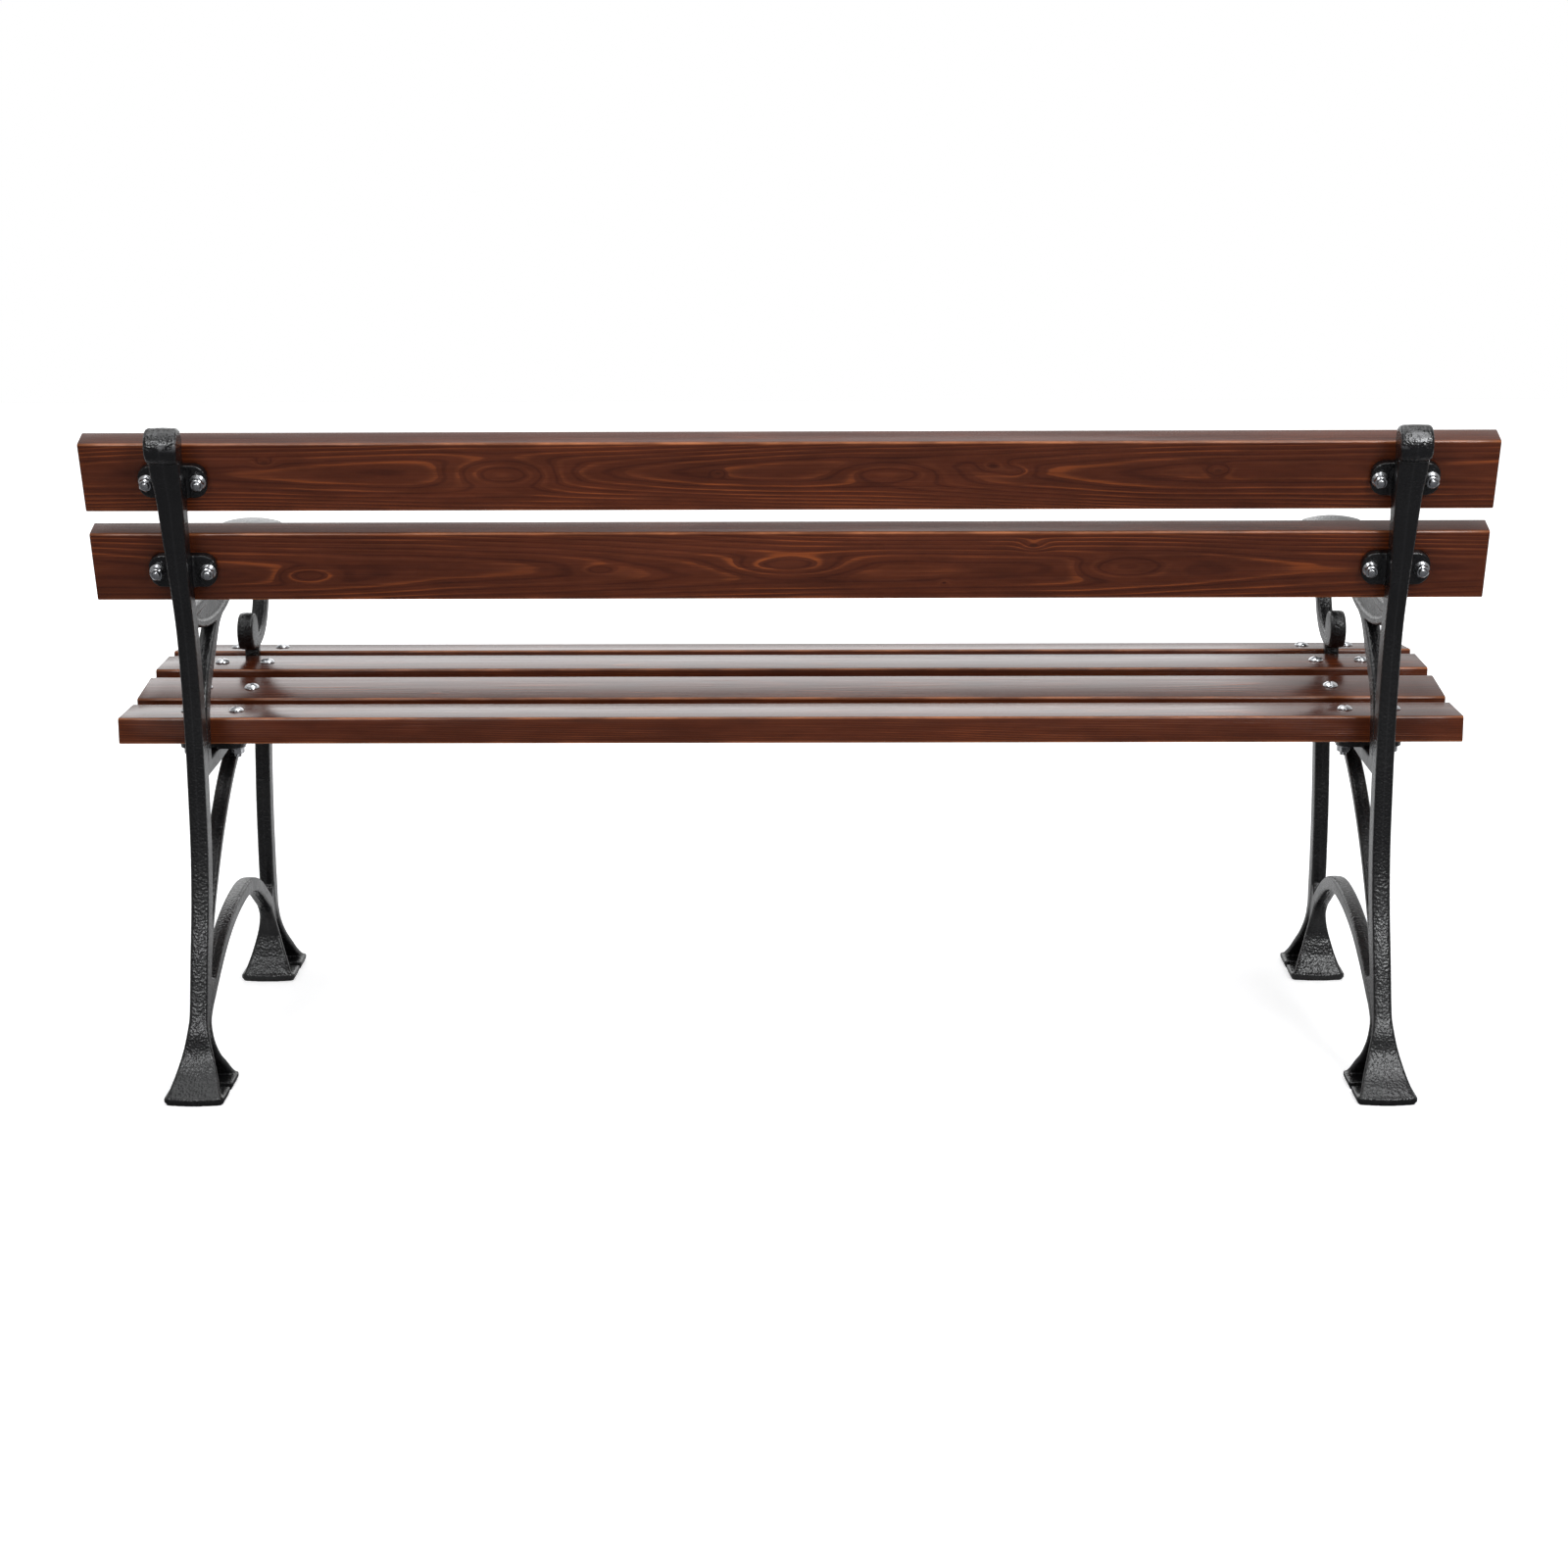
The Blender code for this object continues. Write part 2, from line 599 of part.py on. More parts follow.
def stub():
    """Post that carries the arm rest, down between the front two slats to the rail."""
    foot = rail_spots(LUG_THICKNESS + RAIL_THICKNESS / 2)[-2][1]
    route = [(front_gap_depth, height) for height in (support_base, (support_base + foot) / 2, foot)]
    return cast_bar("stub", [(*spot, STUB_WIDTH, STUB_THICKNESS) for spot in route])


def side_plate(name, outline, width):
    """Plate across the frame's middle plane from an outline of (depth, height)."""
    side_view = Matrix(((0, 0, -1, 0), (-1, 0, 0, 0), (0, 1, 0, 0), (0, 0, 0, 1)))
    matrix = Matrix.Translation(world(0.0, 0.0)) @ side_view
    return plate(name, [spot[:2] for spot in outline], width, matrix)


def arm_web():
    """Thin web between the arm rest's upper bar and its lower rim."""
    upper = [spot for spot in arm_stations() if spot[0] < rim_stations()[-1][0]]
    return side_plate("arm_web", upper[:-1] + rim_stations()[::-1], WEB_WIDTH)


def rear_foot_web():
    """Centre web of the rear foot between its heel and toe plates, up to where they meet."""
    heel = foot_plate(0.0, REAR_HEEL_SHARES) + rear_leg_stations()[:2]
    toe = foot_plate(0.0, REAR_TOE_SHARES) + arch_stations()[:1]
    return side_plate("rear_foot_web", heel + toe[::-1], FOOT_WEB_WIDTH)


def front_foot_web():
    leg = front_leg_stations()
    heel = foot_plate(front_foot_depth, FRONT_HEEL_SHARES) + arch_stations()[-1:]
    toe = foot_plate(front_foot_depth, FRONT_TOE_SHARES) + [leg[0], between(leg[0], leg[1], 0.75)]
    return side_plate("front_foot_web", heel + toe[::-1], FOOT_WEB_WIDTH)


def rear_crotch():
    """Thick web where the arch springs from the rear leg."""
    leg, spring = rear_leg_stations(), arch_stations()
    top = [between(spring[2], spring[3], 0.43), between(leg[3], leg[4], 0.57)]
    return side_plate("rear_crotch", [leg[0], *spring[:3], *top, leg[3], leg[2], leg[1]], CROTCH_WIDTH)


def front_crotch():
    """Thick web where the arch springs from the front leg."""
    leg, spring = front_leg_stations(), arch_stations()
    heel_end = foot_plate(front_foot_depth, FRONT_HEEL_SHARES)[-1]
    top = between(leg[2], leg[3], 0.77)
    fillet = (between(top, spring[-2], 0.5)[0], top[1])
    outline = [heel_end, leg[0], leg[1], leg[2], top, fillet, *spring[-2:]]
    return side_plate("front_crotch", outline, CROTCH_WIDTH)


def foot_base(name, foot_depth):
    """Base of a foot: flat sole with rounded corners."""
    middle = foot_depth + FOOT_LENGTH / 2
    matrix = Matrix.Translation(world(middle, FOOT_BASE_THICKNESS / 2))
    outline = rounded_rectangle(FOOT_WIDTH, FOOT_LENGTH, FOOT_CORNER_RADIUS)
    return plate(name, outline, FOOT_BASE_THICKNESS, matrix)


def anchor_slots(foot_depth):
    """Open-ended slots for ground anchors, one at each side of a foot."""
    middle = foot_depth + FOOT_LENGTH / 2
    reach = 2 * ANCHOR_SLOT_LENGTH
    end_radius = ANCHOR_SLOT_WIDTH / 2 * 0.999
    outline = rounded_rectangle(reach, ANCHOR_SLOT_WIDTH, end_radius)
    slots = []
    for side in (-1, 1):
        place = world(middle, FOOT_BASE_THICKNESS / 2, side * FOOT_WIDTH / 2)
        slot = plate("anchor_slot", outline, FOOT_BASE_THICKNESS * 3, Matrix.Translation(place))
        slots.append(slot)
    return slots


def lug(name, pad):
    matrix = pad_matrix(*pad) @ Matrix.Translation((0, 0, -LUG_THICKNESS / 2))
    outline = rounded_rectangle(lug_length, LUG_DEPTH, LUG_CORNER_RADIUS)
    return plate(name, outline, LUG_THICKNESS, matrix)


def bolt_places():
    return [Vector((side * bolt_spacing / 2, 0, 0)) for side in (-1, 1)]


def casting():
    """Mesh of one side frame, about its own middle plane."""
    pads = {**seat_pads(), **back_pads()}
    body = rear_upright()
    parts = [
        roll("knob", knob_depth, knob_height, KNOB_RADIUS, KNOB_WIDTH),
        roll("scroll", scroll_depth, scroll_height, SCROLL_RADIUS, SCROLL_WIDTH),
        cast_bar("arm", arm_stations(), palm_section),
        cast_bar("arm_rim", rim_stations()),
        arm_web(),
        stub(),
        strut(),
        seat_rail(),
        brace(),
        arch(),
        front_leg(),
        rear_crotch(),
        front_crotch(),
        rear_foot_web(),
        front_foot_web(),
        foot_base("rear_foot_base", 0.0),
        foot_base("front_foot_base", front_foot_depth),
    ]
    parts += [lug("lug_" + name, pad) for name, pad in pads.items()]
    solid = new_object("casting", combine(body, parts, "UNION", "casting"), casting_steps)
    holes = [cylinders("holes", hole_radius, LUG_THICKNESS * 4, bolt_places(), pad_matrix(*pad))
             for pad in pads.values()]
    slots = anchor_slots(0.0) + anchor_slots(front_foot_depth)
    return combine(solid, holes + slots, "DIFFERENCE", "casting")


def slat_mesh():
    """Slat centred on its underside: long edges rounded, bolt holes cut near its ends."""
    shape = bmesh.new()
    bmesh.ops.create_cube(shape, size=1.0)
    bmesh.ops.scale(shape, vec=(SLAT_LENGTH, SLAT_WIDTH, SLAT_THICKNESS), verts=shape.verts)
    bmesh.ops.translate(shape, vec=(0, 0, SLAT_THICKNESS / 2), verts=shape.verts)
    long_edges = [edge for edge in shape.edges if edge.calc_length() > SLAT_LENGTH * 0.99]
    bmesh.ops.bevel(shape, geom=long_edges, offset=SLAT_EDGE_RADIUS, segments=2, profile=0.5,
                    affect="EDGES")
    board = new_object("slat", mesh_from("slat", shape), casting_steps)
    middle = Vector((frame_spacing / 2, 0, SLAT_THICKNESS / 2))
    places = [middle + spot for spot in bolt_places()]
    places += [Vector((-x, y, z)) for x, y, z in places]
    holes = cylinders("slat_holes", hole_radius, SLAT_THICKNESS * 2, places)
    return combine(board, [holes], "DIFFERENCE", "slat")


def bolt_mesh():
    """Slotted mushroom head bolt; the underside of its head is at the origin, its shank below."""
    crown = HEAD_DIAMETER / 2
    profile = [
        (0.0, HEAD_HEIGHT),
        (crown * 0.60, HEAD_HEIGHT * 0.80),
        (crown * 0.92, HEAD_HEIGHT * 0.40),
        (crown, 0.0),
        (bolt_radius, 0.0),
        (bolt_radius, -bolt_length),
        (0.0, -bolt_length),
    ]
    body = turned("bolt", profile, FASTENER_SIDES)
    place = Matrix.Translation((0, 0, HEAD_HEIGHT))
    half_width, half_length = HEAD_SLOT_WIDTH / 2, HEAD_DIAMETER * 0.6
    outline = [(half_width, half_length), (-half_width, half_length),
               (-half_width, -half_length), (half_width, -half_length)]
    slot = plate("slot", outline, 2 * HEAD_SLOT_DEPTH, place)
    return combine(body, [slot], "DIFFERENCE", "bolt")


def nut_mesh():
    """Hexagon nut with a flange; its flange rests on the XY plane and it stands up along Z."""
    hexagon = NUT_ACROSS_FLATS / 2 / math.cos(math.radians(30))
    profile = [
        (0.0, NUT_FLANGE_HEIGHT),
        (NUT_ACROSS_FLATS / 2 * 0.97, NUT_FLANGE_HEIGHT),
        (NUT_FLANGE_DIAMETER / 2, 0.0),
        (0.0, 0.0),
    ]
    flange = turned("nut", profile, FASTENER_SIDES)
    angles = [math.radians(60 * corner) for corner in range(6)]
    outline = [(hexagon * math.cos(angle), hexagon * math.sin(angle)) for angle in angles]
    height = NUT_HEIGHT - NUT_FLANGE_HEIGHT / 2
    body = plate("nut_body", outline, height, Matrix.Translation((0, 0, NUT_HEIGHT - height / 2)))
    solid = new_object("nut", combine(flange, [body], "UNION", "nut"), casting_steps)
    bore = cylinders("nut_bore", hole_radius, NUT_HEIGHT * 3, [(0, 0, 0)])
    return combine(solid, [bore], "DIFFERENCE", "nut")


def place_object(name, mesh, matrix, material, angle=35):
    item = new_object(name, mesh, bench, material)
    shade_round(mesh, angle)
    item.matrix_world = matrix
    return item


clear_scene()
bench = new_collection("cast_iron_bench")
cutters = new_collection("cutters")
casting_steps = new_collection("casting_steps")
iron = new_material("black_cast_iron", (0.018, 0.018, 0.019), 0.42, 0.0)
wood = new_material("stained_pine", (0.12, 0.032, 0.014), 0.38, 0.0)
zinc = new_material("zinc_plated_steel", (0.72, 0.73, 0.75), 0.22, 1.0)

frame_mesh = casting()
for side, name in ((1, "frame_left"), (-1, "frame_right")):
    place_object(name, frame_mesh, Matrix.Translation((side * frame_spacing / 2, 0, 0)), iron)

board_mesh = slat_mesh()
fastener_mesh = bolt_mesh()
fixing_mesh = nut_mesh()
turned_over = Matrix.Rotation(math.pi, 4, "X")
for name, pad in {**seat_pads(), **back_pads()}.items():
    face = pad_matrix(*pad)
    place_object(name, board_mesh, face @ Matrix.Translation((0, 0, CONTACT_GAP)), wood)
    for side, side_name in ((1, "left"), (-1, "right")):
        for x, letter in ((bolt_spacing / 2, "outer"), (-bolt_spacing / 2, "inner")):
            across = side * (frame_spacing / 2 + x)
            label = "%s_%s_%s" % (name, side_name, letter)
            head = Matrix.Translation((across, 0, SLAT_THICKNESS + 2 * CONTACT_GAP))
            place_object(label + "_bolt", fastener_mesh, face @ head, zinc)
            under = Matrix.Translation((across, 0, -LUG_THICKNESS - CONTACT_GAP))
            place_object(label + "_nut", fixing_mesh, face @ under @ turned_over, zinc)

bpy.data.collections.remove(casting_steps)
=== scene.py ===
import math

import bmesh
import bpy
import numpy as np
from mathutils import Euler, Matrix, Vector


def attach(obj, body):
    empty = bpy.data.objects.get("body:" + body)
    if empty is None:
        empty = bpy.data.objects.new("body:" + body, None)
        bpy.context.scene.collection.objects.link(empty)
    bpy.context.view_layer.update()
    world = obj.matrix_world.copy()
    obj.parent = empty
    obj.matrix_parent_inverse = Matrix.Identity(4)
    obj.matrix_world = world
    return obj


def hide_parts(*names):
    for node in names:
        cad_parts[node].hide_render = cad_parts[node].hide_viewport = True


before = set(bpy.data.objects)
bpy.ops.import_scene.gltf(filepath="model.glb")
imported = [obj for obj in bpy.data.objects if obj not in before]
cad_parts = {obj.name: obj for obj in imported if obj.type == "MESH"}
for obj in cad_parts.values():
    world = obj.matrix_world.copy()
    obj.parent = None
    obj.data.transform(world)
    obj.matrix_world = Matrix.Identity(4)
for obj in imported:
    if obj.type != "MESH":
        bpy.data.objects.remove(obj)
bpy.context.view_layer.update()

# Places in the side view are (depth, height) in metres. Depth runs forward from the rear edge
# of the rear foot. The bench's front faces -Y.
middleDepth = 0.283
frameOffset = 0.6515
sameSpot = 0.00002  # corners nearer than this are joined


def place(depth, height, across=0.0):
    return Vector((across, middleDepth - depth, height))


# small helpers

def newObject(name, mesh):
    item = bpy.data.objects.new(name, mesh)
    bpy.context.scene.collection.objects.link(item)
    return item


def dropObject(item):
    bpy.data.objects.remove(item, do_unlink=True)


def plainMesh(item, name):
    # evaluated result as a mesh of its own, modifiers gone
    graph = bpy.context.evaluated_depsgraph_get()
    mesh = bpy.data.meshes.new_from_object(item.evaluated_get(graph))
    mesh.name = name
    return mesh


def joinCorners(shape):
    bmesh.ops.remove_doubles(shape, verts=shape.verts, dist=sameSpot)


def smoothShade(mesh, angle):
    mesh.shade_smooth()
    mesh.set_sharp_from_angle(angle=math.radians(angle))


def addNode(tree, kind, inputs=None, **settings):
    node = tree.nodes.new(kind)
    for key, value in settings.items():
        setattr(node, key, value)
    for key, value in (inputs or {}).items():
        socket = node.inputs[key]
        if isinstance(value, bpy.types.NodeSocket):
            tree.links.new(value, socket)
        else:
            socket.default_value = value
    return node


def calc(tree, operation, a, b=0.0, c=0.0, clamp=False):
    node = tree.nodes.new("ShaderNodeMath")
    node.operation = operation
    node.use_clamp = clamp
    for socket, value in zip(node.inputs, (a, b, c)):
        if isinstance(value, bpy.types.NodeSocket):
            tree.links.new(value, socket)
        else:
            socket.default_value = value
    return node.outputs[0]


def times(tree, a, b):
    return calc(tree, "MULTIPLY", a, b)


def plus(tree, a, b, clamp=False):
    return calc(tree, "ADD", a, b, clamp=clamp)


def rangeMap(tree, value, low, high, toLow=0.0, toHigh=1.0, smooth=True):
    node = addNode(tree, "ShaderNodeMapRange", {
        "Value": value, "From Min": low, "From Max": high, "To Min": toLow, "To Max": toHigh})
    node.interpolation_type = "SMOOTHSTEP" if smooth else "LINEAR"
    return node.outputs["Result"]


def noise(tree, vector, scale, detail=2.0, roughness=0.5, distortion=0.0):
    return addNode(tree, "ShaderNodeTexNoise", {
        "Vector": vector, "Scale": scale, "Detail": detail, "Roughness": roughness,
        "Distortion": distortion}).outputs["Fac"]


def newMaterial(name):
    material = bpy.data.materials.new(name)
    material.use_nodes = True
    tree = material.node_tree
    return material, tree, tree.nodes["Principled BSDF"]


def mixColour(tree, share, first, second):
    # first and second are colours or colour sockets
    sides = [(*side, 1.0) if isinstance(side, tuple) else side for side in (first, second)]
    return addNode(tree, "ShaderNodeMix", {0: share, 6: sides[0], 7: sides[1]}, data_type="RGBA").outputs[2]


def mixValue(tree, share, first, second):
    return addNode(tree, "ShaderNodeMix", {"Factor": share, "A": first, "B": second}).outputs["Result"]


def relief(tree, shader, height, strength=1.0, distance=1.0):
    bump = addNode(tree, "ShaderNodeBump", {"Height": height, "Strength": strength, "Distance": distance})
    tree.links.new(bump.outputs["Normal"], shader.inputs["Normal"])


def colourRamp(tree, fac, stops):
    node = addNode(tree, "ShaderNodeValToRGB", {"Fac": fac})
    ramp = node.color_ramp
    while len(ramp.elements) < len(stops):
        ramp.elements.new(0.5)
    for element, (position, colour) in zip(ramp.elements, stops):
        element.position = position
        element.color = (*colour, 1.0)
    return node.outputs["Color"]


# camera, floor and light

camera = {
    "lens": 70.0,
    "sensor": 36.0,
    "height": 1.0992,
    "behind": 3.156,
    "across": -0.0246,
    "pitch": 13.15,
    "yaw": -0.533,
    "roll": 0.208,
}


def makeCamera():
    data = bpy.data.cameras.new("photoCamera")
    data.lens = camera["lens"]
    data.sensor_width = camera["sensor"]
    item = newObject("photoCamera", data)
    aim = Euler((math.radians(90 - camera["pitch"]), 0.0, math.radians(180 - camera["yaw"])), "XYZ")
    roll = Matrix.Rotation(math.radians(-camera["roll"]), 3, "Z")
    stand = Vector((camera["across"], middleDepth + camera["behind"], camera["height"]))
    item.matrix_world = Matrix.Translation(stand) @ (aim.to_matrix() @ roll).to_4x4()
    bpy.context.scene.camera = item


studio = {
    "floorSize": 14.0,
    "floorColour": (0.84, 0.84, 0.845),
    "floorMirror": (0.09, 0.09, 0.095),  # the floor in reflections, on the camera's side
    "mirrorDepth": (-0.5, 0.35),
    "floorRoughness": 0.7,
    "floorSpecular": 0.1,
    "floorLift": 0.50,  # near the bench, and plain white at the far end of its reach
    "liftReach": (1.2, 2.6),
    "worldLight": 0.34,
    "cameraSide": 0.30,
    "ceiling": 0.38,
    "ceilingFrom": (0.35, 0.90),
    "beyond": 0.72,
    "beyondFrom": (0.10, -0.40),
    "lampColour": (0.975, 0.99, 1.0),
    # place, aim, size and power of each lamp
    "lamps": {
        "overhead": ((0.2, -0.3, 3.2), (0.0, 0.0, 0.3), (3.2, 2.4), 45.0),
        "frontFill": ((0.4, -3.4, 1.5), (0.0, 0.0, 0.4), (3.0, 1.6), 17.0),
        "leftKey": ((1.35, 3.2, 2.05), (0.60, 0.3, 0.50), (0.80, 1.20), 29.0),
        "rightKey": ((-1.40, 3.2, 2.05), (-0.60, 0.3, 0.45), (0.80, 1.20), 44.0),
        "leftHigh": ((1.20, 1.7, 2.6), (0.65, 0.3, 0.1), (0.90, 2.00), 8.0),
        "rightHigh": ((-1.25, 1.7, 2.6), (-0.65, 0.3, 0.1), (1.00, 2.20), 33.0),
    },
}


def makeWorld():
    # white background for the camera; reflections see it beyond and above the bench, and a
    # darker room on the camera's side; plain even light for everything else
    world = bpy.data.worlds.new("studio")
    bpy.context.scene.world = world
    world.use_nodes = True
    tree = world.node_tree
    tree.nodes.clear()
    path = addNode(tree, "ShaderNodeLightPath")
    way = addNode(tree, "ShaderNodeTexCoord").outputs["Generated"]
    axes = addNode(tree, "ShaderNodeSeparateXYZ", {"Vector": way}).outputs
    above = rangeMap(tree, axes["Z"], *studio["ceilingFrom"], studio["cameraSide"], studio["ceiling"])
    beyond = rangeMap(tree, axes["Y"], *studio["beyondFrom"], 0.0, studio["beyond"])
    mirrored = calc(tree, "MAXIMUM", above, beyond)
    level = mixValue(tree, path.outputs["Is Glossy Ray"], studio["worldLight"], mirrored)
    seen = calc(tree, "MAXIMUM", path.outputs["Is Camera Ray"], path.outputs["Is Transmission Ray"])
    strength = mixValue(tree, seen, level, 1.0)
    shade = addNode(tree, "ShaderNodeBackground", {"Color": (1, 1, 1, 1), "Strength": strength})
    addNode(tree, "ShaderNodeOutputWorld", {"Surface": shade.outputs[0]})


def makeFloor():
    half = studio["floorSize"] / 2
    mesh = bpy.data.meshes.new("floor")
    corners = [(-half, -half, 0), (half, -half, 0), (half, half, 0), (-half, half, 0)]
    mesh.from_pydata(corners, [], [(0, 1, 2, 3)])
    floor = newObject("floor", mesh)
    material, tree, shader = newMaterial("paleFloor")
    # the floor is white, except that reflections see it darker on the camera's side
    path = addNode(tree, "ShaderNodeLightPath")
    spot = addNode(tree, "ShaderNodeTexCoord").outputs["Object"]
    depth = addNode(tree, "ShaderNodeSeparateXYZ", {"Vector": spot}).outputs["Y"]
    behind = rangeMap(tree, depth, *studio["mirrorDepth"])
    darker = times(tree, path.outputs["Is Glossy Ray"], behind)
    tree.links.new(mixColour(tree, darker, studio["floorColour"], studio["floorMirror"]),
                   shader.inputs["Base Color"])
    shader.inputs["Roughness"].default_value = studio["floorRoughness"]
    shader.inputs["Specular IOR Level"].default_value = studio["floorSpecular"]
    shader.inputs["Emission Color"].default_value = (1, 1, 1, 1)
    reach = addNode(tree, "ShaderNodeVectorMath", {0: spot}, operation="LENGTH").outputs["Value"]
    lift = rangeMap(tree, reach, *studio["liftReach"], studio["floorLift"], 1.0)
    glow = times(tree, path.outputs["Is Camera Ray"], lift)
    tree.links.new(glow, shader.inputs["Emission Strength"])
    mesh.materials.append(material)


def makeLamps():
    for name, (spot, aim, size, power) in studio["lamps"].items():
        data = bpy.data.lights.new(name, "AREA")
        data.shape = "RECTANGLE"
        data.size, data.size_y = size
        data.energy = power
        data.color = studio["lampColour"]
        lamp = newObject(name, data)
        lamp.location = spot
        lamp.rotation_euler = (Vector(aim) - Vector(spot)).to_track_quat("-Z", "Y").to_euler()


makeCamera()
makeWorld()
makeFloor()
makeLamps()
print("camera, floor and light are set")


# materials

castFinish = {
    "colour": (0.0048, 0.0048, 0.0052),
    # worn paint, also used for the painted highlight along the parting line
    "wornAndSeamGlint": (0.015, 0.015, 0.016),
    # lighter paint for the knobs' rear: rubbed paint and a painted highlight
    "rubbedAndGlintColour": (0.075, 0.075, 0.078),
    "roughness": (0.24, 0.31),
    "polished": 0.16,
    "specular": 0.55,
    # height of the relief, and how often it repeats in a metre
    "fine": 0.00012,
    "fineScale": 600.0,
    "pebble": 0.00058,
    "pebbleScale": 400.0,
    "swell": 0.00006,
    "swellScale": 70.0,
    "patchScale": 14.0,
    "seam": 0.0001,
    "seamWidth": 0.0013,
    # where hands reach the knobs; the lighter patch on their rear is partly rubbed paint and partly a
    # painted highlight
    "gripHeight": (0.695, 0.710),
    "rubAndGlintHeight": (0.716, 0.723),
    "rubAndGlintDepth": (0.280, 0.287),
    "rubAndGlintScale": 95.0,
}


def castIronPaint():
    material, tree, shader = newMaterial("blackCastIronPaint")
    where = addNode(tree, "ShaderNodeTexCoord").outputs["Object"]
    fine = noise(tree, where, castFinish["fineScale"], 3.0, 0.65)
    pebble = addNode(tree, "ShaderNodeTexVoronoi", {
        "Vector": where, "Scale": castFinish["pebbleScale"], "Randomness": 1.0},
        feature="SMOOTH_F1").outputs["Distance"]
    swell = noise(tree, where, castFinish["swellScale"], 3.0, 0.5)
    wide = noise(tree, where, castFinish["patchScale"], 2.0, 0.5)

    # parting line down the middle plane of each casting
    x, y, z = addNode(tree, "ShaderNodeSeparateXYZ", {"Vector": where}).outputs
    away = calc(tree, "SUBTRACT", calc(tree, "ABSOLUTE", x), frameOffset)
    seam = rangeMap(tree, calc(tree, "ABSOLUTE", away), castFinish["seamWidth"], 0.0)

    # thinner, duller paint on the grain's crests; along the parting line the lighter paint is partly thin
    # paint and partly a painted highlight on the ridge
    crest = rangeMap(tree, fine, 0.52, 0.72)
    patch = rangeMap(tree, wide, 0.35, 0.65)
    thin = plus(tree, times(tree, patch, 0.5), 0.25)
    wearAndSeamGlint = plus(tree, times(tree, crest, thin), times(tree, seam, 0.5), clamp=True)
    paint = colourRamp(tree, wearAndSeamGlint, [(0.0, castFinish["colour"]), (1.0, castFinish["wornAndSeamGlint"])])

    # hands have polished the knobs and rubbed their rear; the lighter rear patch is also a painted highlight
    rubAndGlintPatch = rangeMap(tree, noise(tree, where, castFinish["rubAndGlintScale"], 3.0, 0.55), 0.50, 0.60)
    rubbedAndGlint = times(tree, rangeMap(tree, z, *castFinish["rubAndGlintHeight"]), rubAndGlintPatch)
    rubbedAndGlint = times(tree, rubbedAndGlint, rangeMap(tree, y, *castFinish["rubAndGlintDepth"]))
    tree.links.new(mixColour(tree, rubbedAndGlint, paint, castFinish["rubbedAndGlintColour"]), shader.inputs["Base Color"])
    plain = rangeMap(tree, patch, 0.0, 1.0, *castFinish["roughness"], smooth=False)
    grip = rangeMap(tree, z, *castFinish["gripHeight"])
    tree.links.new(mixValue(tree, grip, plain, castFinish["polished"]), shader.inputs["Roughness"])
    shader.inputs["Specular IOR Level"].default_value = castFinish["specular"]

    grain = plus(tree, times(tree, fine, castFinish["fine"]), times(tree, pebble, castFinish["pebble"]))
    height = plus(tree, grain, times(tree, swell, castFinish["swell"]))
    relief(tree, shader, plus(tree, height, times(tree, seam, castFinish["seam"])))
    return material


zincFinish = {
    "colour": (0.70, 0.71, 0.73),
    "dulled": 0.78,
    "roughness": (0.17, 0.34),
    "cloudScale": 420.0,
    "grain": 0.0002,
}


def zincPlating():
    material, tree, shader = newMaterial("brightZincPlating")
    where = addNode(tree, "ShaderNodeTexCoord").outputs["Object"]
    cloud = noise(tree, where, zincFinish["cloudScale"], 3.0, 0.55)
    tree.links.new(rangeMap(tree, cloud, 0.35, 0.7, *zincFinish["roughness"]), shader.inputs["Roughness"])
    bright = zincFinish["colour"]
    dull = tuple(channel * zincFinish["dulled"] for channel in bright)
    tree.links.new(colourRamp(tree, cloud, [(0.3, bright), (0.75, dull)]), shader.inputs["Base Color"])
    shader.inputs["Metallic"].default_value = 1.0
    relief(tree, shader, cloud, strength=0.25, distance=zincFinish["grain"])
    return material


woodFinish = {
    "ring": 0.0018,
    "early": (0.072, 0.0160, 0.0058),
    "middle": (0.098, 0.0235, 0.0080),
    "late": (0.225, 0.0510, 0.0105),
    "shadow": (0.044, 0.0095, 0.0042),
    # the long edges' colour: stain worn thin there, and a painted highlight
    "arris": (0.420, 0.1500, 0.0600),
    "knot": (0.034, 0.0085, 0.0040),
    "roughness": (0.17, 0.27),
    "specular": 0.32,
    "waver": 0.0012,
    "knotPull": 0.4,  # share of a knot's size by which it lifts the rings
    "lateFrom": (0.58, 0.86),
    "lateTo": (1.0, 0.92),
    "grooveFrom": (0.08, 0.20),
    "grooveTo": (0.38, 0.24),
    "arrisAcross": (0.0370, 0.0394),
    "arrisDeep": (0.0120, 0.0144),
    "streakRelief": 0.00010,
    "ringRelief": 0.00008,
}


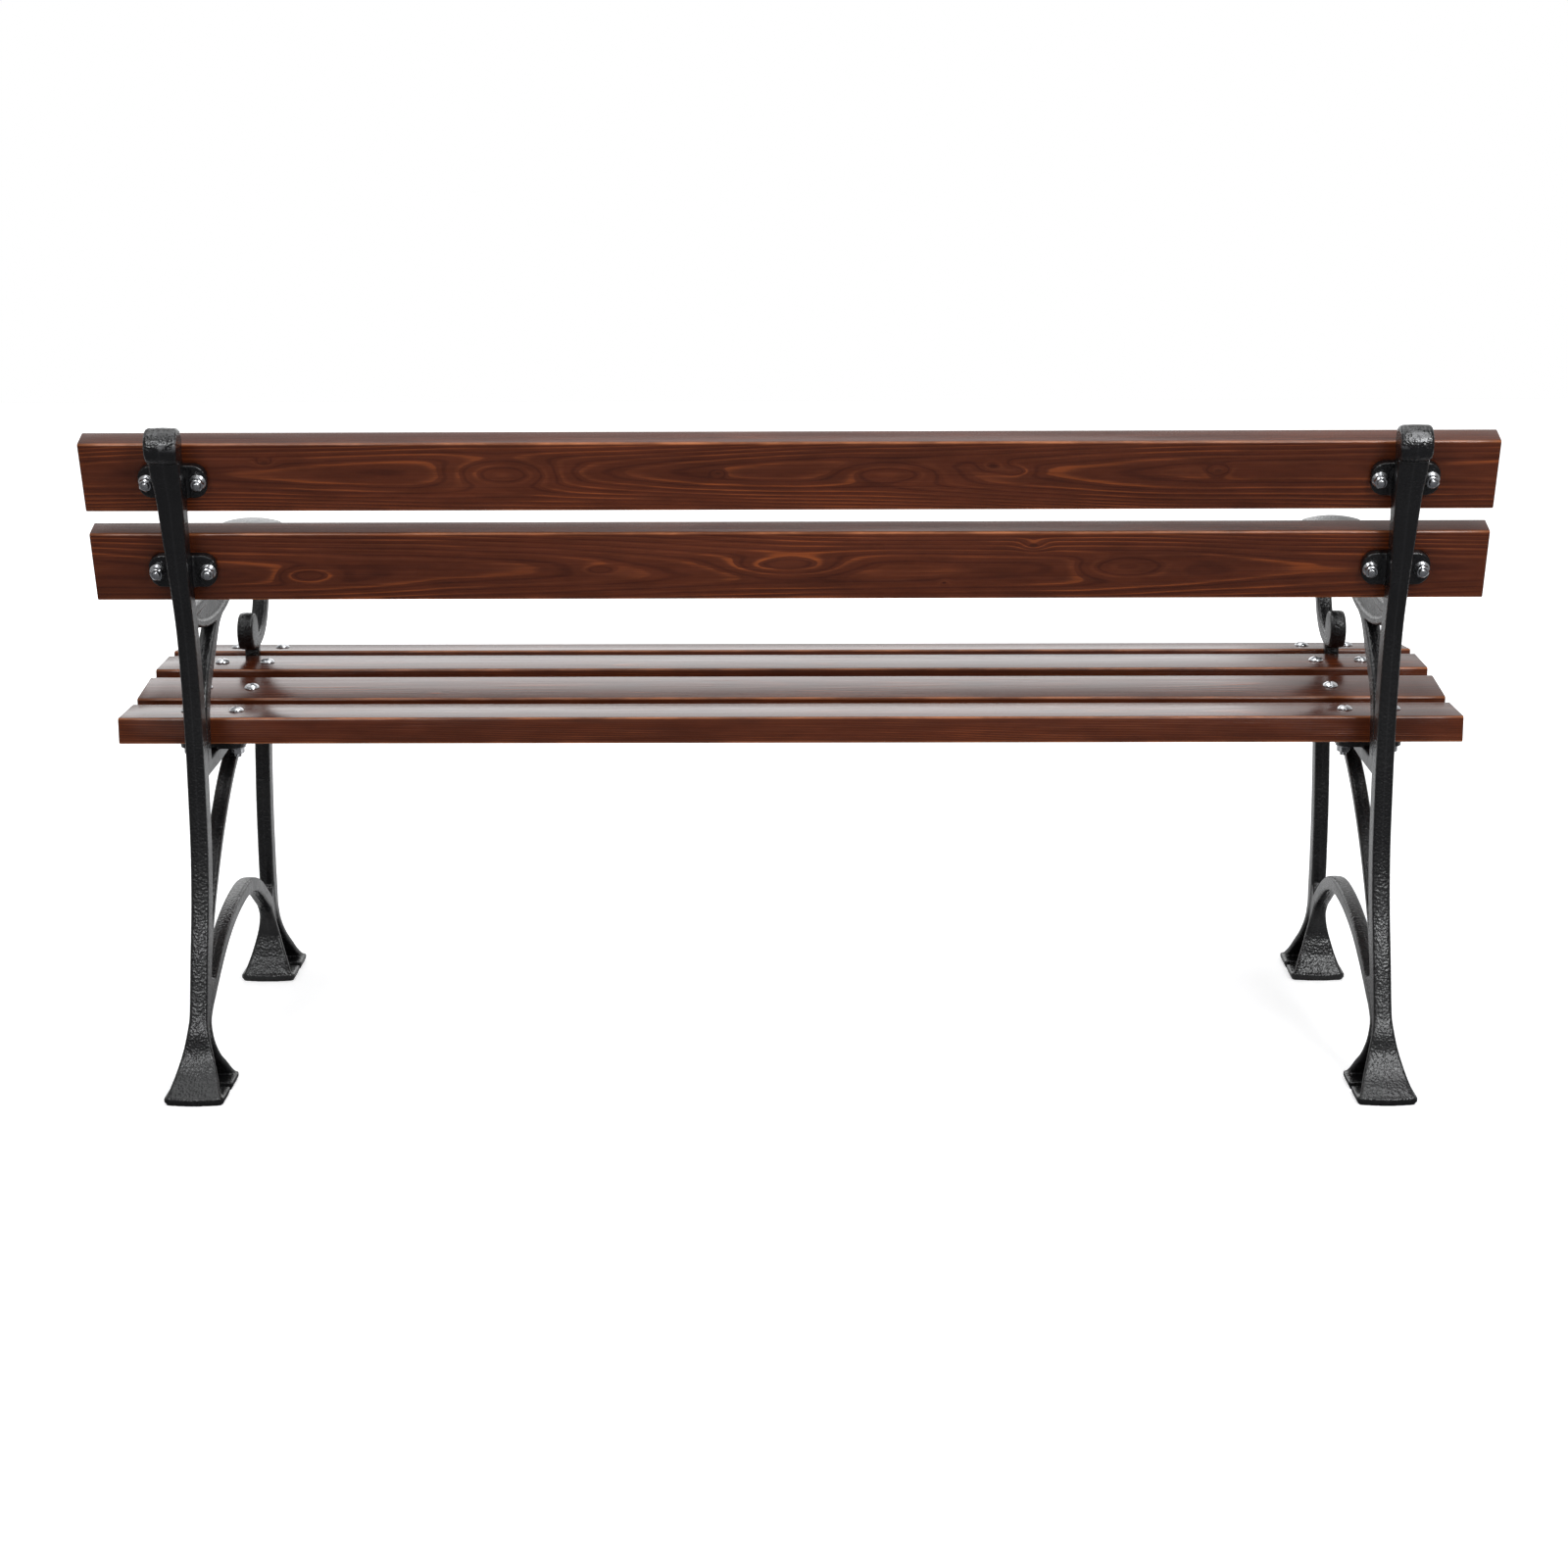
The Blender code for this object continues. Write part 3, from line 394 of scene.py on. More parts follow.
def stainedPine(name, board):
    # growth rings round a pith that runs beside the board; knots and eyes lift the rings round them
    material, tree, shader = newMaterial(name)
    spot = addNode(tree, "ShaderNodeAttribute", attribute_name="boardPlace").outputs["Vector"]
    x, y, z = addNode(tree, "ShaderNodeSeparateXYZ", {"Vector": spot}).outputs

    def stretched(along, across):
        return addNode(tree, "ShaderNodeMapping", {
            "Vector": spot, "Location": (board["seed"], 0.0, 0.0),
            "Scale": (along, across, across)}).outputs["Vector"]

    acrossPith = calc(tree, "SUBTRACT", y, board["pith"][0])
    belowPith = calc(tree, "SUBTRACT", z, board["pith"][1])
    squares = plus(tree, times(tree, acrossPith, acrossPith), times(tree, belowPith, belowPith))
    radius = calc(tree, "SQRT", squares)
    wander = times(tree, noise(tree, stretched(1.9, 12.0), 1.0, 1.0, 0.4), board["wander"])
    waver = times(tree, noise(tree, stretched(6.0, 60.0), 1.0, 2.0, 0.5), woodFinish["waver"])
    field = plus(tree, plus(tree, radius, wander), plus(tree, waver, times(tree, x, board["slope"])))
    core = 0.0
    for knotX, knotY, size, stretch, dark in board["knots"]:
        dx = calc(tree, "DIVIDE", calc(tree, "SUBTRACT", x, knotX), size * stretch)
        dy = calc(tree, "DIVIDE", calc(tree, "SUBTRACT", y, knotY), size)
        away = plus(tree, times(tree, dx, dx), times(tree, dy, dy))
        lift = calc(tree, "EXPONENT", times(tree, away, -1.0))
        field = plus(tree, field, times(tree, lift, size * woodFinish["knotPull"]))
        core = calc(tree, "MAXIMUM", core, times(tree, rangeMap(tree, away, 0.20, 0.03), dark))

    turn = calc(tree, "FRACT", calc(tree, "DIVIDE", field, woodFinish["ring"]))
    line = times(tree, rangeMap(tree, turn, *woodFinish["lateFrom"]),
                 rangeMap(tree, turn, *woodFinish["lateTo"]))
    patch = rangeMap(tree, noise(tree, stretched(5.0, 26.0), 1.0, 2.0, 0.5), 0.34, 0.68, 0.15, 0.80)
    streak = noise(tree, stretched(7.0, 420.0), 1.0, 2.0, 0.6)
    mottle = noise(tree, stretched(16.0, 70.0), 1.0, 3.0, 0.6)
    line = plus(tree, times(tree, line, patch),
                times(tree, calc(tree, "SUBTRACT", streak, 0.5), 0.85), clamp=True)
    tint = colourRamp(tree, line, [(0.0, woodFinish["early"]), (0.4, woodFinish["middle"]),
                                   (1.0, woodFinish["late"])])
    # stain that gathers beside the rings and in fine threads
    groove = times(tree, rangeMap(tree, turn, *woodFinish["grooveFrom"]),
                   rangeMap(tree, turn, *woodFinish["grooveTo"]))
    thread = rangeMap(tree, noise(tree, stretched(4.0, 900.0), 1.0, 2.0, 0.6), 0.46, 0.70)
    groove = plus(tree, times(tree, groove, 0.60), times(tree, thread, 0.45), clamp=True)
    tint = mixColour(tree, groove, tint, woodFinish["shadow"])
    # stain rubbed thin on the long edges, and a painted highlight along them
    deep = calc(tree, "ABSOLUTE", calc(tree, "SUBTRACT", z, slat["thickness"] / 2))
    arris = times(tree, rangeMap(tree, calc(tree, "ABSOLUTE", y), *woodFinish["arrisAcross"]),
                  rangeMap(tree, deep, *woodFinish["arrisDeep"]))
    edgeWearAndHighlight = times(tree, arris, rangeMap(tree, mottle, 0.3, 0.7, 0.35, 0.9))
    tint = mixColour(tree, edgeWearAndHighlight, tint, woodFinish["arris"])
    tint = mixColour(tree, core, tint, woodFinish["knot"])
    broad = rangeMap(tree, noise(tree, stretched(1.6, 9.0), 1.0, 2.0, 0.5), 0.3, 0.7, 0.80, 1.15)
    shade = times(tree, broad, rangeMap(tree, mottle, 0.3, 0.7, 0.86, 1.12))
    shade = times(tree, shade, board["tone"])
    toned = addNode(tree, "ShaderNodeVectorMath", {0: tint, "Scale": shade}, operation="SCALE").outputs[0]
    tree.links.new(toned, shader.inputs["Base Color"])

    tree.links.new(rangeMap(tree, streak, 0.25, 0.75, *woodFinish["roughness"]), shader.inputs["Roughness"])
    shader.inputs["Specular IOR Level"].default_value = woodFinish["specular"]
    height = plus(tree, times(tree, streak, woodFinish["streakRelief"]),
                  times(tree, line, woodFinish["ringRelief"]))
    relief(tree, shader, height, strength=0.7)
    return material


ironPaint = castIronPaint()
zincCoat = zincPlating()
print("paint and plating are made")


# where the slats sit: depth and height of the lug's face, tilt of the slat

seats = {
    "seat_slat_1": (0.520, 0.3826, -4.8),
    "seat_slat_2": (0.416, 0.3846, 1.3),
    "seat_slat_3": (0.312, 0.3756, 7.1),
    "seat_slat_4": (0.208, 0.3686, -0.3),
    "back_slat_lower": (0.094, 0.5806, 17.0 - 90),
    "back_slat_upper": (0.0616, 0.6813, 18.6 - 90),
}


def seatMatrix(name):
    # X along the bench, Z out of the casting, on the lug's face
    depth, height, tilt = seats[name]
    return Matrix.Translation(place(depth, height)) @ Matrix.Rotation(math.radians(-tilt), 4, "X")


def behindSeat(name, distance):
    depth, height, tilt = seats[name]
    angle = math.radians(tilt)
    return depth + distance * math.sin(angle), height - distance * math.cos(angle)


# slats: a rounded profile swept along the board

slat = {
    "length": 1.500,
    "width": 0.080,
    "thickness": 0.030,
    "edgeRadius": 0.003,
    "edgeSteps": 4,
    "endRadius": 0.0010,
    "lengthSteps": 60,
    "gap": 0.0003,
}

# pith beside the board as (y, z), then knots and eyes as (x, y, size, stretch, darkness)
boards = {
    "back_slat_upper": {
        "seed": 3.1, "pith": (0.004, 0.075), "slope": 0.010, "wander": 0.010, "tone": 0.93,
        "knots": [(0.300, 0.004, 0.017, 3.4, 0.0), (0.554, 0.018, 0.005, 2.2, 0.5),
                  (0.074, 0.004, 0.004, 2.0, 0.7), (-0.110, 0.003, 0.012, 4.6, 0.0),
                  (-0.217, 0.012, 0.007, 2.2, 0.5), (-0.240, 0.006, 0.006, 2.6, 0.2),
                  (-0.455, 0.006, 0.006, 2.2, 0.6)]},
    "back_slat_lower": {
        "seed": 8.4, "pith": (-0.004, 0.085), "slope": -0.008, "wander": 0.009, "tone": 0.91,
        "knots": [(0.205, -0.004, 0.005, 3.6, 0.0), (0.000, 0.000, 0.012, 5.0, 0.0),
                  (-0.263, 0.024, 0.007, 2.0, 0.8), (-0.168, -0.020, 0.003, 2.0, 0.7),
                  (-0.362, -0.002, 0.013, 4.0, 0.0), (0.520, -0.010, 0.009, 3.4, 0.0)]},
    "seat_slat_4": {
        "seed": 13.7, "pith": (0.010, -0.055), "slope": 0.012, "wander": 0.010, "tone": 0.95,
        "knots": [(-0.200, -0.010, 0.008, 2.6, 0.4), (0.030, -0.034, 0.007, 2.4, 0.5)]},
    "seat_slat_3": {
        "seed": 21.2, "pith": (-0.014, -0.060), "slope": -0.012, "wander": 0.010, "tone": 0.95,
        "knots": [(0.410, 0.015, 0.007, 2.4, 0.5)]},
    "seat_slat_2": {
        "seed": 29.9, "pith": (0.012, -0.050), "slope": 0.010, "wander": 0.011, "tone": 0.90,
        "knots": [(0.050, 0.000, 0.008, 2.6, 0.4)]},
    "seat_slat_1": {
        "seed": 37.5, "pith": (0.000, -0.065), "slope": -0.014, "wander": 0.010, "tone": 0.95,
        "knots": [(-0.400, 0.012, 0.007, 2.4, 0.5)]},
}


def slatTree():
    tree = bpy.data.node_groups.new("slatBoard", "GeometryNodeTree")
    face = tree.interface
    for label, kind in (("Length", "NodeSocketFloat"), ("Width", "NodeSocketFloat"),
                        ("Thickness", "NodeSocketFloat"), ("Edge radius", "NodeSocketFloat"),
                        ("Finish", "NodeSocketMaterial")):
        face.new_socket(label, in_out="INPUT", socket_type=kind)
    face.new_socket("Geometry", in_out="OUTPUT", socket_type="NodeSocketGeometry")
    given = addNode(tree, "NodeGroupInput")
    profile = addNode(tree, "GeometryNodeCurvePrimitiveQuadrilateral", {
        "Width": given.outputs["Width"], "Height": given.outputs["Thickness"]})
    rounded = addNode(tree, "GeometryNodeFilletCurve", {
        "Curve": profile.outputs[0], "Radius": given.outputs["Edge radius"], "Count": slat["edgeSteps"],
        "Limit Radius": True}, mode="POLY")
    half = times(tree, given.outputs["Length"], 0.5)
    start = addNode(tree, "ShaderNodeCombineXYZ", {"X": times(tree, half, -1.0)})
    end = addNode(tree, "ShaderNodeCombineXYZ", {"X": half})
    line = addNode(tree, "GeometryNodeCurvePrimitiveLine", {
        "Start": start.outputs[0], "End": end.outputs[0]})
    steps = addNode(tree, "GeometryNodeResampleCurve", {
        "Curve": line.outputs[0], "Count": slat["lengthSteps"]})
    body = addNode(tree, "GeometryNodeCurveToMesh", {
        "Curve": steps.outputs[0], "Profile Curve": rounded.outputs[0], "Fill Caps": True})
    lift = addNode(tree, "ShaderNodeCombineXYZ", {
        "Z": times(tree, given.outputs["Thickness"], 0.5)})
    raised = addNode(tree, "GeometryNodeTransform", {
        "Geometry": body.outputs[0], "Translation": lift.outputs[0]})
    spot = addNode(tree, "GeometryNodeInputPosition")
    stored = addNode(tree, "GeometryNodeStoreNamedAttribute", {
        "Geometry": raised.outputs[0], "Name": "boardPlace", "Value": spot.outputs[0]},
        data_type="FLOAT_VECTOR", domain="POINT")
    solid = addNode(tree, "GeometryNodeRealizeInstances", {"Geometry": stored.outputs[0]})
    coated = addNode(tree, "GeometryNodeSetMaterial", {
        "Geometry": solid.outputs[0], "Material": given.outputs["Finish"]})
    addNode(tree, "NodeGroupOutput", {"Geometry": coated.outputs[0]})
    return tree


def setInputs(modifier, values):
    for item in modifier.node_group.interface.items_tree:
        if item.in_out == "INPUT" and item.name in values:
            modifier[item.identifier] = values[item.name]


def makeSlats():
    tree = slatTree()
    for name, board in boards.items():
        finish = stainedPine("stainedPine_" + name, board)
        holder = newObject("holder", bpy.data.meshes.new("holder"))
        growth = holder.modifiers.new("board", "NODES")
        growth.node_group = tree
        setInputs(growth, {"Length": slat["length"], "Width": slat["width"], "Thickness": slat["thickness"],
                           "Edge radius": slat["edgeRadius"], "Finish": finish})
        mesh = plainMesh(holder, "slat_" + name)
        dropObject(holder)
        shape = bmesh.new()
        shape.from_mesh(mesh)
        joinCorners(shape)
        bmesh.ops.recalc_face_normals(shape, faces=shape.faces)
        rims = [edge for edge in shape.edges
                if len(edge.link_faces) == 2 and edge.calc_face_angle(0.0) > math.radians(60)]
        bmesh.ops.bevel(shape, geom=rims, offset=slat["endRadius"], segments=2, profile=0.5, affect="EDGES")
        shape.transform(seatMatrix(name) @ Matrix.Translation((0, 0, slat["gap"])))
        shape.to_mesh(mesh)
        shape.free()
        smoothShade(mesh, 40)
        piece = newObject("slat_" + name, mesh)
        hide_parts(name)
        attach(piece, "root")


makeSlats()
print("slats are made")


# castings

iron = {
    "barWidth": 0.018,
    "uprightWidth": 0.020,
    "uprightThickness": 0.028,
    "strutWidth": 0.0172,
    "strutThickness": 0.024,
    "railWidth": 0.0165,
    "railThickness": 0.020,
    "braceWidth": 0.0176,
    "braceThickness": 0.012,
    "legWidth": 0.0184,
    "legThickness": 0.026,
    "archThickness": 0.018,
    "armWidth": 0.0178,
    "armThickness": 0.013,
    "supportThickness": 0.018,
    "rimWidth": 0.0170,
    "rimThickness": 0.009,
    "stubWidth": 0.0168,
    "stubThickness": 0.016,
    "webWidth": 0.0120,
    "crotchWidth": 0.0152,
    "footWebWidth": 0.008,
    "partingRise": 0.0004,
    "edge": 0.002,
    "grid": 0.0012,
    "softenSteps": 9,
    "mostFaces": 190000,
}

foot = {
    "length": 0.104,
    "width": 0.066,
    "plate": 0.009,
    "base": 0.009,
    "lip": 0.0032,
    "lipInset": 0.0018,
    "corner": 0.005,
    "bow": 0.003,
    "flareHeight": 0.085,
    "flarePower": 1.45,
    "slotWidth": 0.013,
    "slotReach": 0.020,
}

lug = {"length": 0.073, "depth": 0.038, "thickness": 0.010, "corner": 0.0145}

arm = {
    "height": 0.5710,
    "palmWidth": 0.068,
    "palmCrown": 0.0045,
    "rootHeight": 0.5319,
    "scroll": (0.4415, 0.4480, 0.0225, 0.019),
    "knob": (0.012, 0.7213, 0.0196, 0.0344),
}

# depths of the rear leg, the front leg, the front foot's heel and the scroll's stub
rearLeg = 0.110
frontLeg = 0.504
frontFoot = 0.470
frontGap = 0.468


def smoothRoute(stations, step):
    # smooth curve through every station, with the heading at each of its rings
    values = np.array(stations, dtype=float)
    chords = np.linalg.norm(np.diff(values[:, :2], axis=0), axis=1)
    run = np.concatenate(([0.0], np.cumsum(chords)))
    slopes = np.gradient(values, run, axis=0)
    rings = []
    for index, chord in enumerate(chords):
        start, end = values[index], values[index + 1]
        leave, arrive = slopes[index] * chord, slopes[index + 1] * chord
        count = max(2, math.ceil(chord / step))
        for part in range(count):
            t = part / count
            spot = (2 * t**3 - 3 * t**2 + 1) * start + (t**3 - 2 * t**2 + t) * leave
            spot = spot + (3 * t**2 - 2 * t**3) * end + (t**3 - t**2) * arrive
            heading = (6 * t**2 - 6 * t) * (start - end) + (3 * t**2 - 4 * t + 1) * leave
            heading = heading + (3 * t**2 - 2 * t) * arrive
            rings.append((spot, heading[:2]))
    rings.append((values[-1], slopes[-1][:2]))
    return rings


def barSection(width, thickness):
    # drafted bar with a parting ridge down the middle of its faces
    face = thickness / 2 - iron["partingRise"]
    edge = min(iron["edge"], face / 3)
    half = [(0.0, thickness / 2), (width / 2 - edge, face), (width / 2, face - edge),
            (width / 2, edge - face), (width / 2 - edge, -face)]
    return half + [(-across, -rise) for across, rise in half]


def palmSection(width, thickness):
    # flat bar that arches across as it widens
    crown = arm["palmCrown"] * (width - iron["barWidth"]) / (arm["palmWidth"] - iron["barWidth"])
    side = width / 2
    edge = min(iron["edge"], thickness / 4)
    section = [(side, edge - thickness / 2 - crown), (side, thickness / 2 - edge - crown)]
    for part in range(12, -13, -1):
        share = part / 12
        section.append(((side - edge) * share, thickness / 2 - crown * share * share))
    section += [(-side, thickness / 2 - edge - crown), (-side, edge - thickness / 2 - crown)]
    for part in range(-6, 7):
        share = part / 6
        section.append(((side - edge) * share, -thickness / 2 - crown * share * share))
    return section


def castBar(shape, stations, section=barSection, step=0.004):
    loops = []
    for (depth, height, width, thickness), heading in smoothRoute(stations, step):
        heading = heading / np.linalg.norm(heading)
        loop = [shape.verts.new(place(depth - heading[1] * rise, height + heading[0] * rise, across))
                for across, rise in section(width, thickness)]
        loops.append(loop)
    for near, far in zip(loops, loops[1:]):
        for index in range(len(near)):
            following = (index + 1) % len(near)
            shape.faces.new((near[index], near[following], far[following], far[index]))
    shape.faces.new(loops[0])
    shape.faces.new(loops[-1])


def castPlate(shape, outline, thickness, matrix):
    near = [shape.verts.new(matrix @ Vector((x, y, -thickness / 2))) for x, y in outline]
    far = [shape.verts.new(matrix @ Vector((x, y, thickness / 2))) for x, y in outline]
    for index in range(len(near)):
        following = (index + 1) % len(near)
        shape.faces.new((near[index], near[following], far[following], far[index]))
    caps = [shape.faces.new(near), shape.faces.new(far)]
    for cap in caps:
        cap.normal_update()  # a hollow outline needs it, to be filled inside only
    bmesh.ops.triangulate(shape, faces=caps)


def sidePlate(shape, spots, width):
    # plate in the casting's side view
    upright = Matrix(((0, 0, -1, 0), (-1, 0, 0, 0), (0, 1, 0, 0), (0, 0, 0, 1)))
    castPlate(shape, [spot[:2] for spot in spots], width, Matrix.Translation(place(0, 0)) @ upright)


def castRoll(shape, depth, height, radius, width, sides=64):
    face = radius - iron["partingRise"]
    half = [(face - 0.003, width / 2), (face - 0.0008, width / 2 - 0.0008), (face, width / 2 - 0.003)]
    profile = half + [(radius, 0.0)] + [(reach, -across) for reach, across in half[::-1]]
    loops = []
    for reach, across in profile:
        loops.append([shape.verts.new(place(depth + reach * math.cos(2 * math.pi * side / sides),
                                            height + reach * math.sin(2 * math.pi * side / sides), across))
                      for side in range(sides)])
    for near, far in zip(loops, loops[1:]):
        for index in range(sides):
            following = (index + 1) % sides
            shape.faces.new((near[index], near[following], far[following], far[index]))
    shape.faces.new(loops[0])
    shape.faces.new(loops[-1])


def flared(stations, width):
    full = []
    for depth, height, thickness in stations:
        share = max(0.0, 1 - height / foot["flareHeight"]) ** foot["flarePower"]
        full.append((depth, height, width + (foot["width"] - width) * share, thickness))
    return full


def footPlate(start, curve):
    return [(start + share * foot["length"], height, foot["plate"]) for share, height in curve]


def alongSpan(share):
    return rearLeg + share * (frontLeg - rearLeg)


def roundedOutline(length, width, radius, sides=6):
    outline = []
    for signX, signY, start in ((1, 1, 0), (-1, 1, 90), (-1, -1, 180), (1, -1, 270)):
        for step in range(sides + 1):
            angle = math.radians(start + 90 * step / sides)
            outline.append((signX * (length / 2 - radius) + radius * math.cos(angle),
                            signY * (width / 2 - radius) + radius * math.sin(angle)))
    return outline


def soleOutline(inset):
    # sole with bowed ends and a round-ended slot open at each side
    sideX, endY = foot["width"] / 2 - inset, foot["length"] / 2 - inset
    halfSlot = foot["slotWidth"] / 2
    inner = sideX - foot["slotReach"] + halfSlot
    quarter = []
    for step in range(5):
        angle = math.radians(90 * step / 4)
        quarter.append((sideX - foot["corner"] * (1 - math.cos(angle)),
                        endY - foot["bow"] - foot["corner"] * (1 - math.sin(angle))))
    for step in (0.75, 0.5, 0.25):
        quarter.append(((sideX - foot["corner"]) * step, endY - foot["bow"] * step * step))
    slot = [(sideX, -halfSlot)]
    for step in range(0, 181, 20):
        angle = math.radians(step)
        slot.append((inner - halfSlot * math.sin(angle), -halfSlot * math.cos(angle)))
    slot.append((sideX, halfSlot))
    half = slot + quarter + [(0.0, endY)] + [(-x, y) for x, y in quarter[::-1]]
    return half + [(-x, -y) for x, y in half]


# foot plates as (share of the foot's length, height), the brace as (share of its reach, height)
rearHeel = [(0.048, 0.0050), (0.134, 0.0135), (0.244, 0.0231), (0.322, 0.0345), (0.387, 0.0473)]
rearToe = [(0.930, 0.0050), (0.869, 0.0107), (0.759, 0.0250), (0.673, 0.0345), (0.620, 0.0552)]
frontHeel = [(0.048, 0.0050), (0.094, 0.0146), (0.149, 0.0247), (0.188, 0.0395), (0.223, 0.0560),
             (0.207, 0.0715)]
frontToe = [(0.915, 0.0050), (0.855, 0.0096), (0.788, 0.0150), (0.669, 0.0303), (0.514, 0.0510)]
braceCurve = [(-0.088, 0.1250), (-0.040, 0.1450), (0.000, 0.1660), (0.052, 0.1880), (0.141, 0.2190),
              (0.245, 0.2500), (0.363, 0.2790), (0.487, 0.3045), (0.614, 0.3240), (0.761, 0.3400)]


def uprightStations():
    behind = lug["thickness"] + iron["uprightThickness"] / 2 - iron["edge"] / 2
    lower = behindSeat("back_slat_lower", behind)
    upper = behindSeat("back_slat_upper", behind)
    thick = iron["uprightThickness"]
    leg = [
        (rearLeg - 0.0625, 0.0680, 0.0130), (rearLeg - 0.0543, 0.0802, 0.0180),
        (rearLeg - 0.0470, 0.0940, 0.0225), (rearLeg - 0.0400, 0.1100, 0.0260),
        (rearLeg - 0.0300, 0.1400, thick), (rearLeg - 0.0120, 0.1950, thick), (rearLeg, 0.2600, thick),
        (rearLeg + 0.0020, 0.3200, thick), (rearLeg + 0.0005, 0.3900, thick),
        (rearLeg - 0.0065, 0.4600, thick), (rearLeg - 0.0190, 0.5200, thick),
    ]
    knobDepth, knobHeight, knobRadius, knobWidth = arm["knob"]
    return flared(footPlate(0.0, rearHeel) + leg, iron["uprightWidth"]) + [
        (*lower, iron["uprightWidth"] + 0.0015, thick),
        ((lower[0] + upper[0]) / 2, (lower[1] + upper[1]) / 2, 0.0250, thick),
        (*upper, 0.0294, thick),
        (knobDepth + 0.0135, knobHeight - 0.0235, knobWidth - 0.0023, thick * 0.95),
        (knobDepth + 0.0050, knobHeight - 0.0010, knobWidth - 0.0010, knobRadius * 1.20),
    ]


def archStations():
    thick = iron["archThickness"]
    middle = [
        (0.0711, 0.0739, 0.0115), (0.0861, 0.0858, 0.0140), (alongSpan(0.000), 0.1000, 0.0165),
        (alongSpan(0.102), 0.1200, thick), (alongSpan(0.228), 0.1390, thick),
        (alongSpan(0.355), 0.1505, thick), (alongSpan(0.482), 0.1560, thick),
        (alongSpan(0.609), 0.1555, thick), (alongSpan(0.736), 0.1440, thick),
        (alongSpan(0.863), 0.1183, thick), (frontFoot + 0.0090, 0.0985, 0.0165),
        (frontFoot + 0.0175, 0.0850, 0.0135),
    ]
    route = footPlate(0.0, rearToe) + middle + footPlate(frontFoot, frontHeel)[::-1]
    return flared(route, iron["barWidth"])


def frontLegStations():
    rail = behindSeat("seat_slat_1", lug["thickness"] + iron["railThickness"] / 2)
    thick = iron["legThickness"]
    return flared(footPlate(frontFoot, frontToe) + [
        (frontLeg + 0.0121, 0.0691, 0.0120), (frontLeg + 0.0092, 0.0860, 0.0175),
        (frontLeg + 0.0045, 0.1030, 0.0235), (frontLeg + 0.0015, 0.1250, thick), (frontLeg, 0.1700, thick),
        (frontLeg + 0.0015, 0.2250, thick), (frontLeg + 0.0070, 0.2750, thick),
        (frontLeg + 0.0125, 0.3200, thick), (rail[0] - 0.0020, rail[1], thick),
    ], iron["legWidth"])


def railStations():
    drop = lug["thickness"] + iron["railThickness"] / 2 - 0.002
    spots = [behindSeat("seat_slat_%d" % number, drop) for number in (4, 3, 2, 1)]
    front = spots[-1]
    route = [(rearLeg, spots[0][1] - 0.0015), ((rearLeg + spots[0][0]) / 2, spots[0][1] - 0.0010), *spots,
             (front[0] + lug["depth"] / 2, front[1] - 0.0045)]
    return [(depth, height, iron["railWidth"], iron["railThickness"]) for depth, height in route]


def braceStations():
    end = behindSeat("seat_slat_2", lug["thickness"] + iron["railThickness"] - iron["braceThickness"])
    reach = end[0] - rearLeg
    route = [(rearLeg + share * reach, height) for share, height in braceCurve] + [end]
    return [(depth, height, iron["braceWidth"], iron["braceThickness"]) for depth, height in route]


def armStations():
    top, palm, thick = arm["height"], arm["palmWidth"], iron["armThickness"]
    bar, support = iron["barWidth"], iron["supportThickness"]
    scrollDepth, scrollHeight, scrollRadius = arm["scroll"][:3]
    return [
        (rearLeg - 0.0250, arm["rootHeight"], iron["armWidth"], thick),
        (rearLeg + 0.0250, arm["rootHeight"] + 0.0010, iron["armWidth"], thick),
        (rearLeg + 0.0800, top - 0.0325, iron["armWidth"], thick),
        (rearLeg + 0.1500, top - 0.0215, iron["armWidth"], thick),
        (rearLeg + 0.2200, top - 0.0125, iron["armWidth"], thick),
        (rearLeg + 0.2700, top - 0.0075, bar + 0.0040, thick),
        # palm rest
        (frontGap - 0.0480, top - 0.0045, palm * 0.48, thick),
        (frontGap - 0.0130, top - 0.0005, palm * 0.82, thick),
        (frontGap + 0.0220, top, palm, thick),
        (frontGap + 0.0520, top - 0.0045, palm * 0.97, thick),
        (frontGap + 0.0730, top - 0.0150, palm * 0.78, thick),
        (frontGap + 0.0840, top - 0.0330, palm * 0.48, thick),
        # down and back to the scroll
        (frontGap + 0.0840, top - 0.0550, bar + 0.0030, 0.0150),
        (frontGap + 0.0775, top - 0.0800, bar, support),
        (frontGap + 0.0680, top - 0.1000, bar, support),
        (frontGap + 0.0555, top - 0.1180, bar, support),
        (frontGap + 0.0385, top - 0.1300, bar, support),
        (frontGap + 0.0190, top - 0.1365, bar, support),
        (frontGap, top - 0.1390, bar, 0.0165),
        (scrollDepth, scrollHeight - scrollRadius + 0.0085, bar, 0.0150),
    ]


def rimStations():
    top = arm["height"]
    route = [
        (rearLeg - 0.0120, top - 0.0500), (rearLeg + 0.0240, top - 0.0590), (rearLeg + 0.0600, top - 0.0645),
        (rearLeg + 0.1000, top - 0.0665), (rearLeg + 0.1450, top - 0.0645), (rearLeg + 0.1920, top - 0.0555),
        (rearLeg + 0.2350, top - 0.0370), (rearLeg + 0.2900, top - 0.0150),
    ]
    return [(depth, height, iron["rimWidth"], iron["rimThickness"]) for depth, height in route]


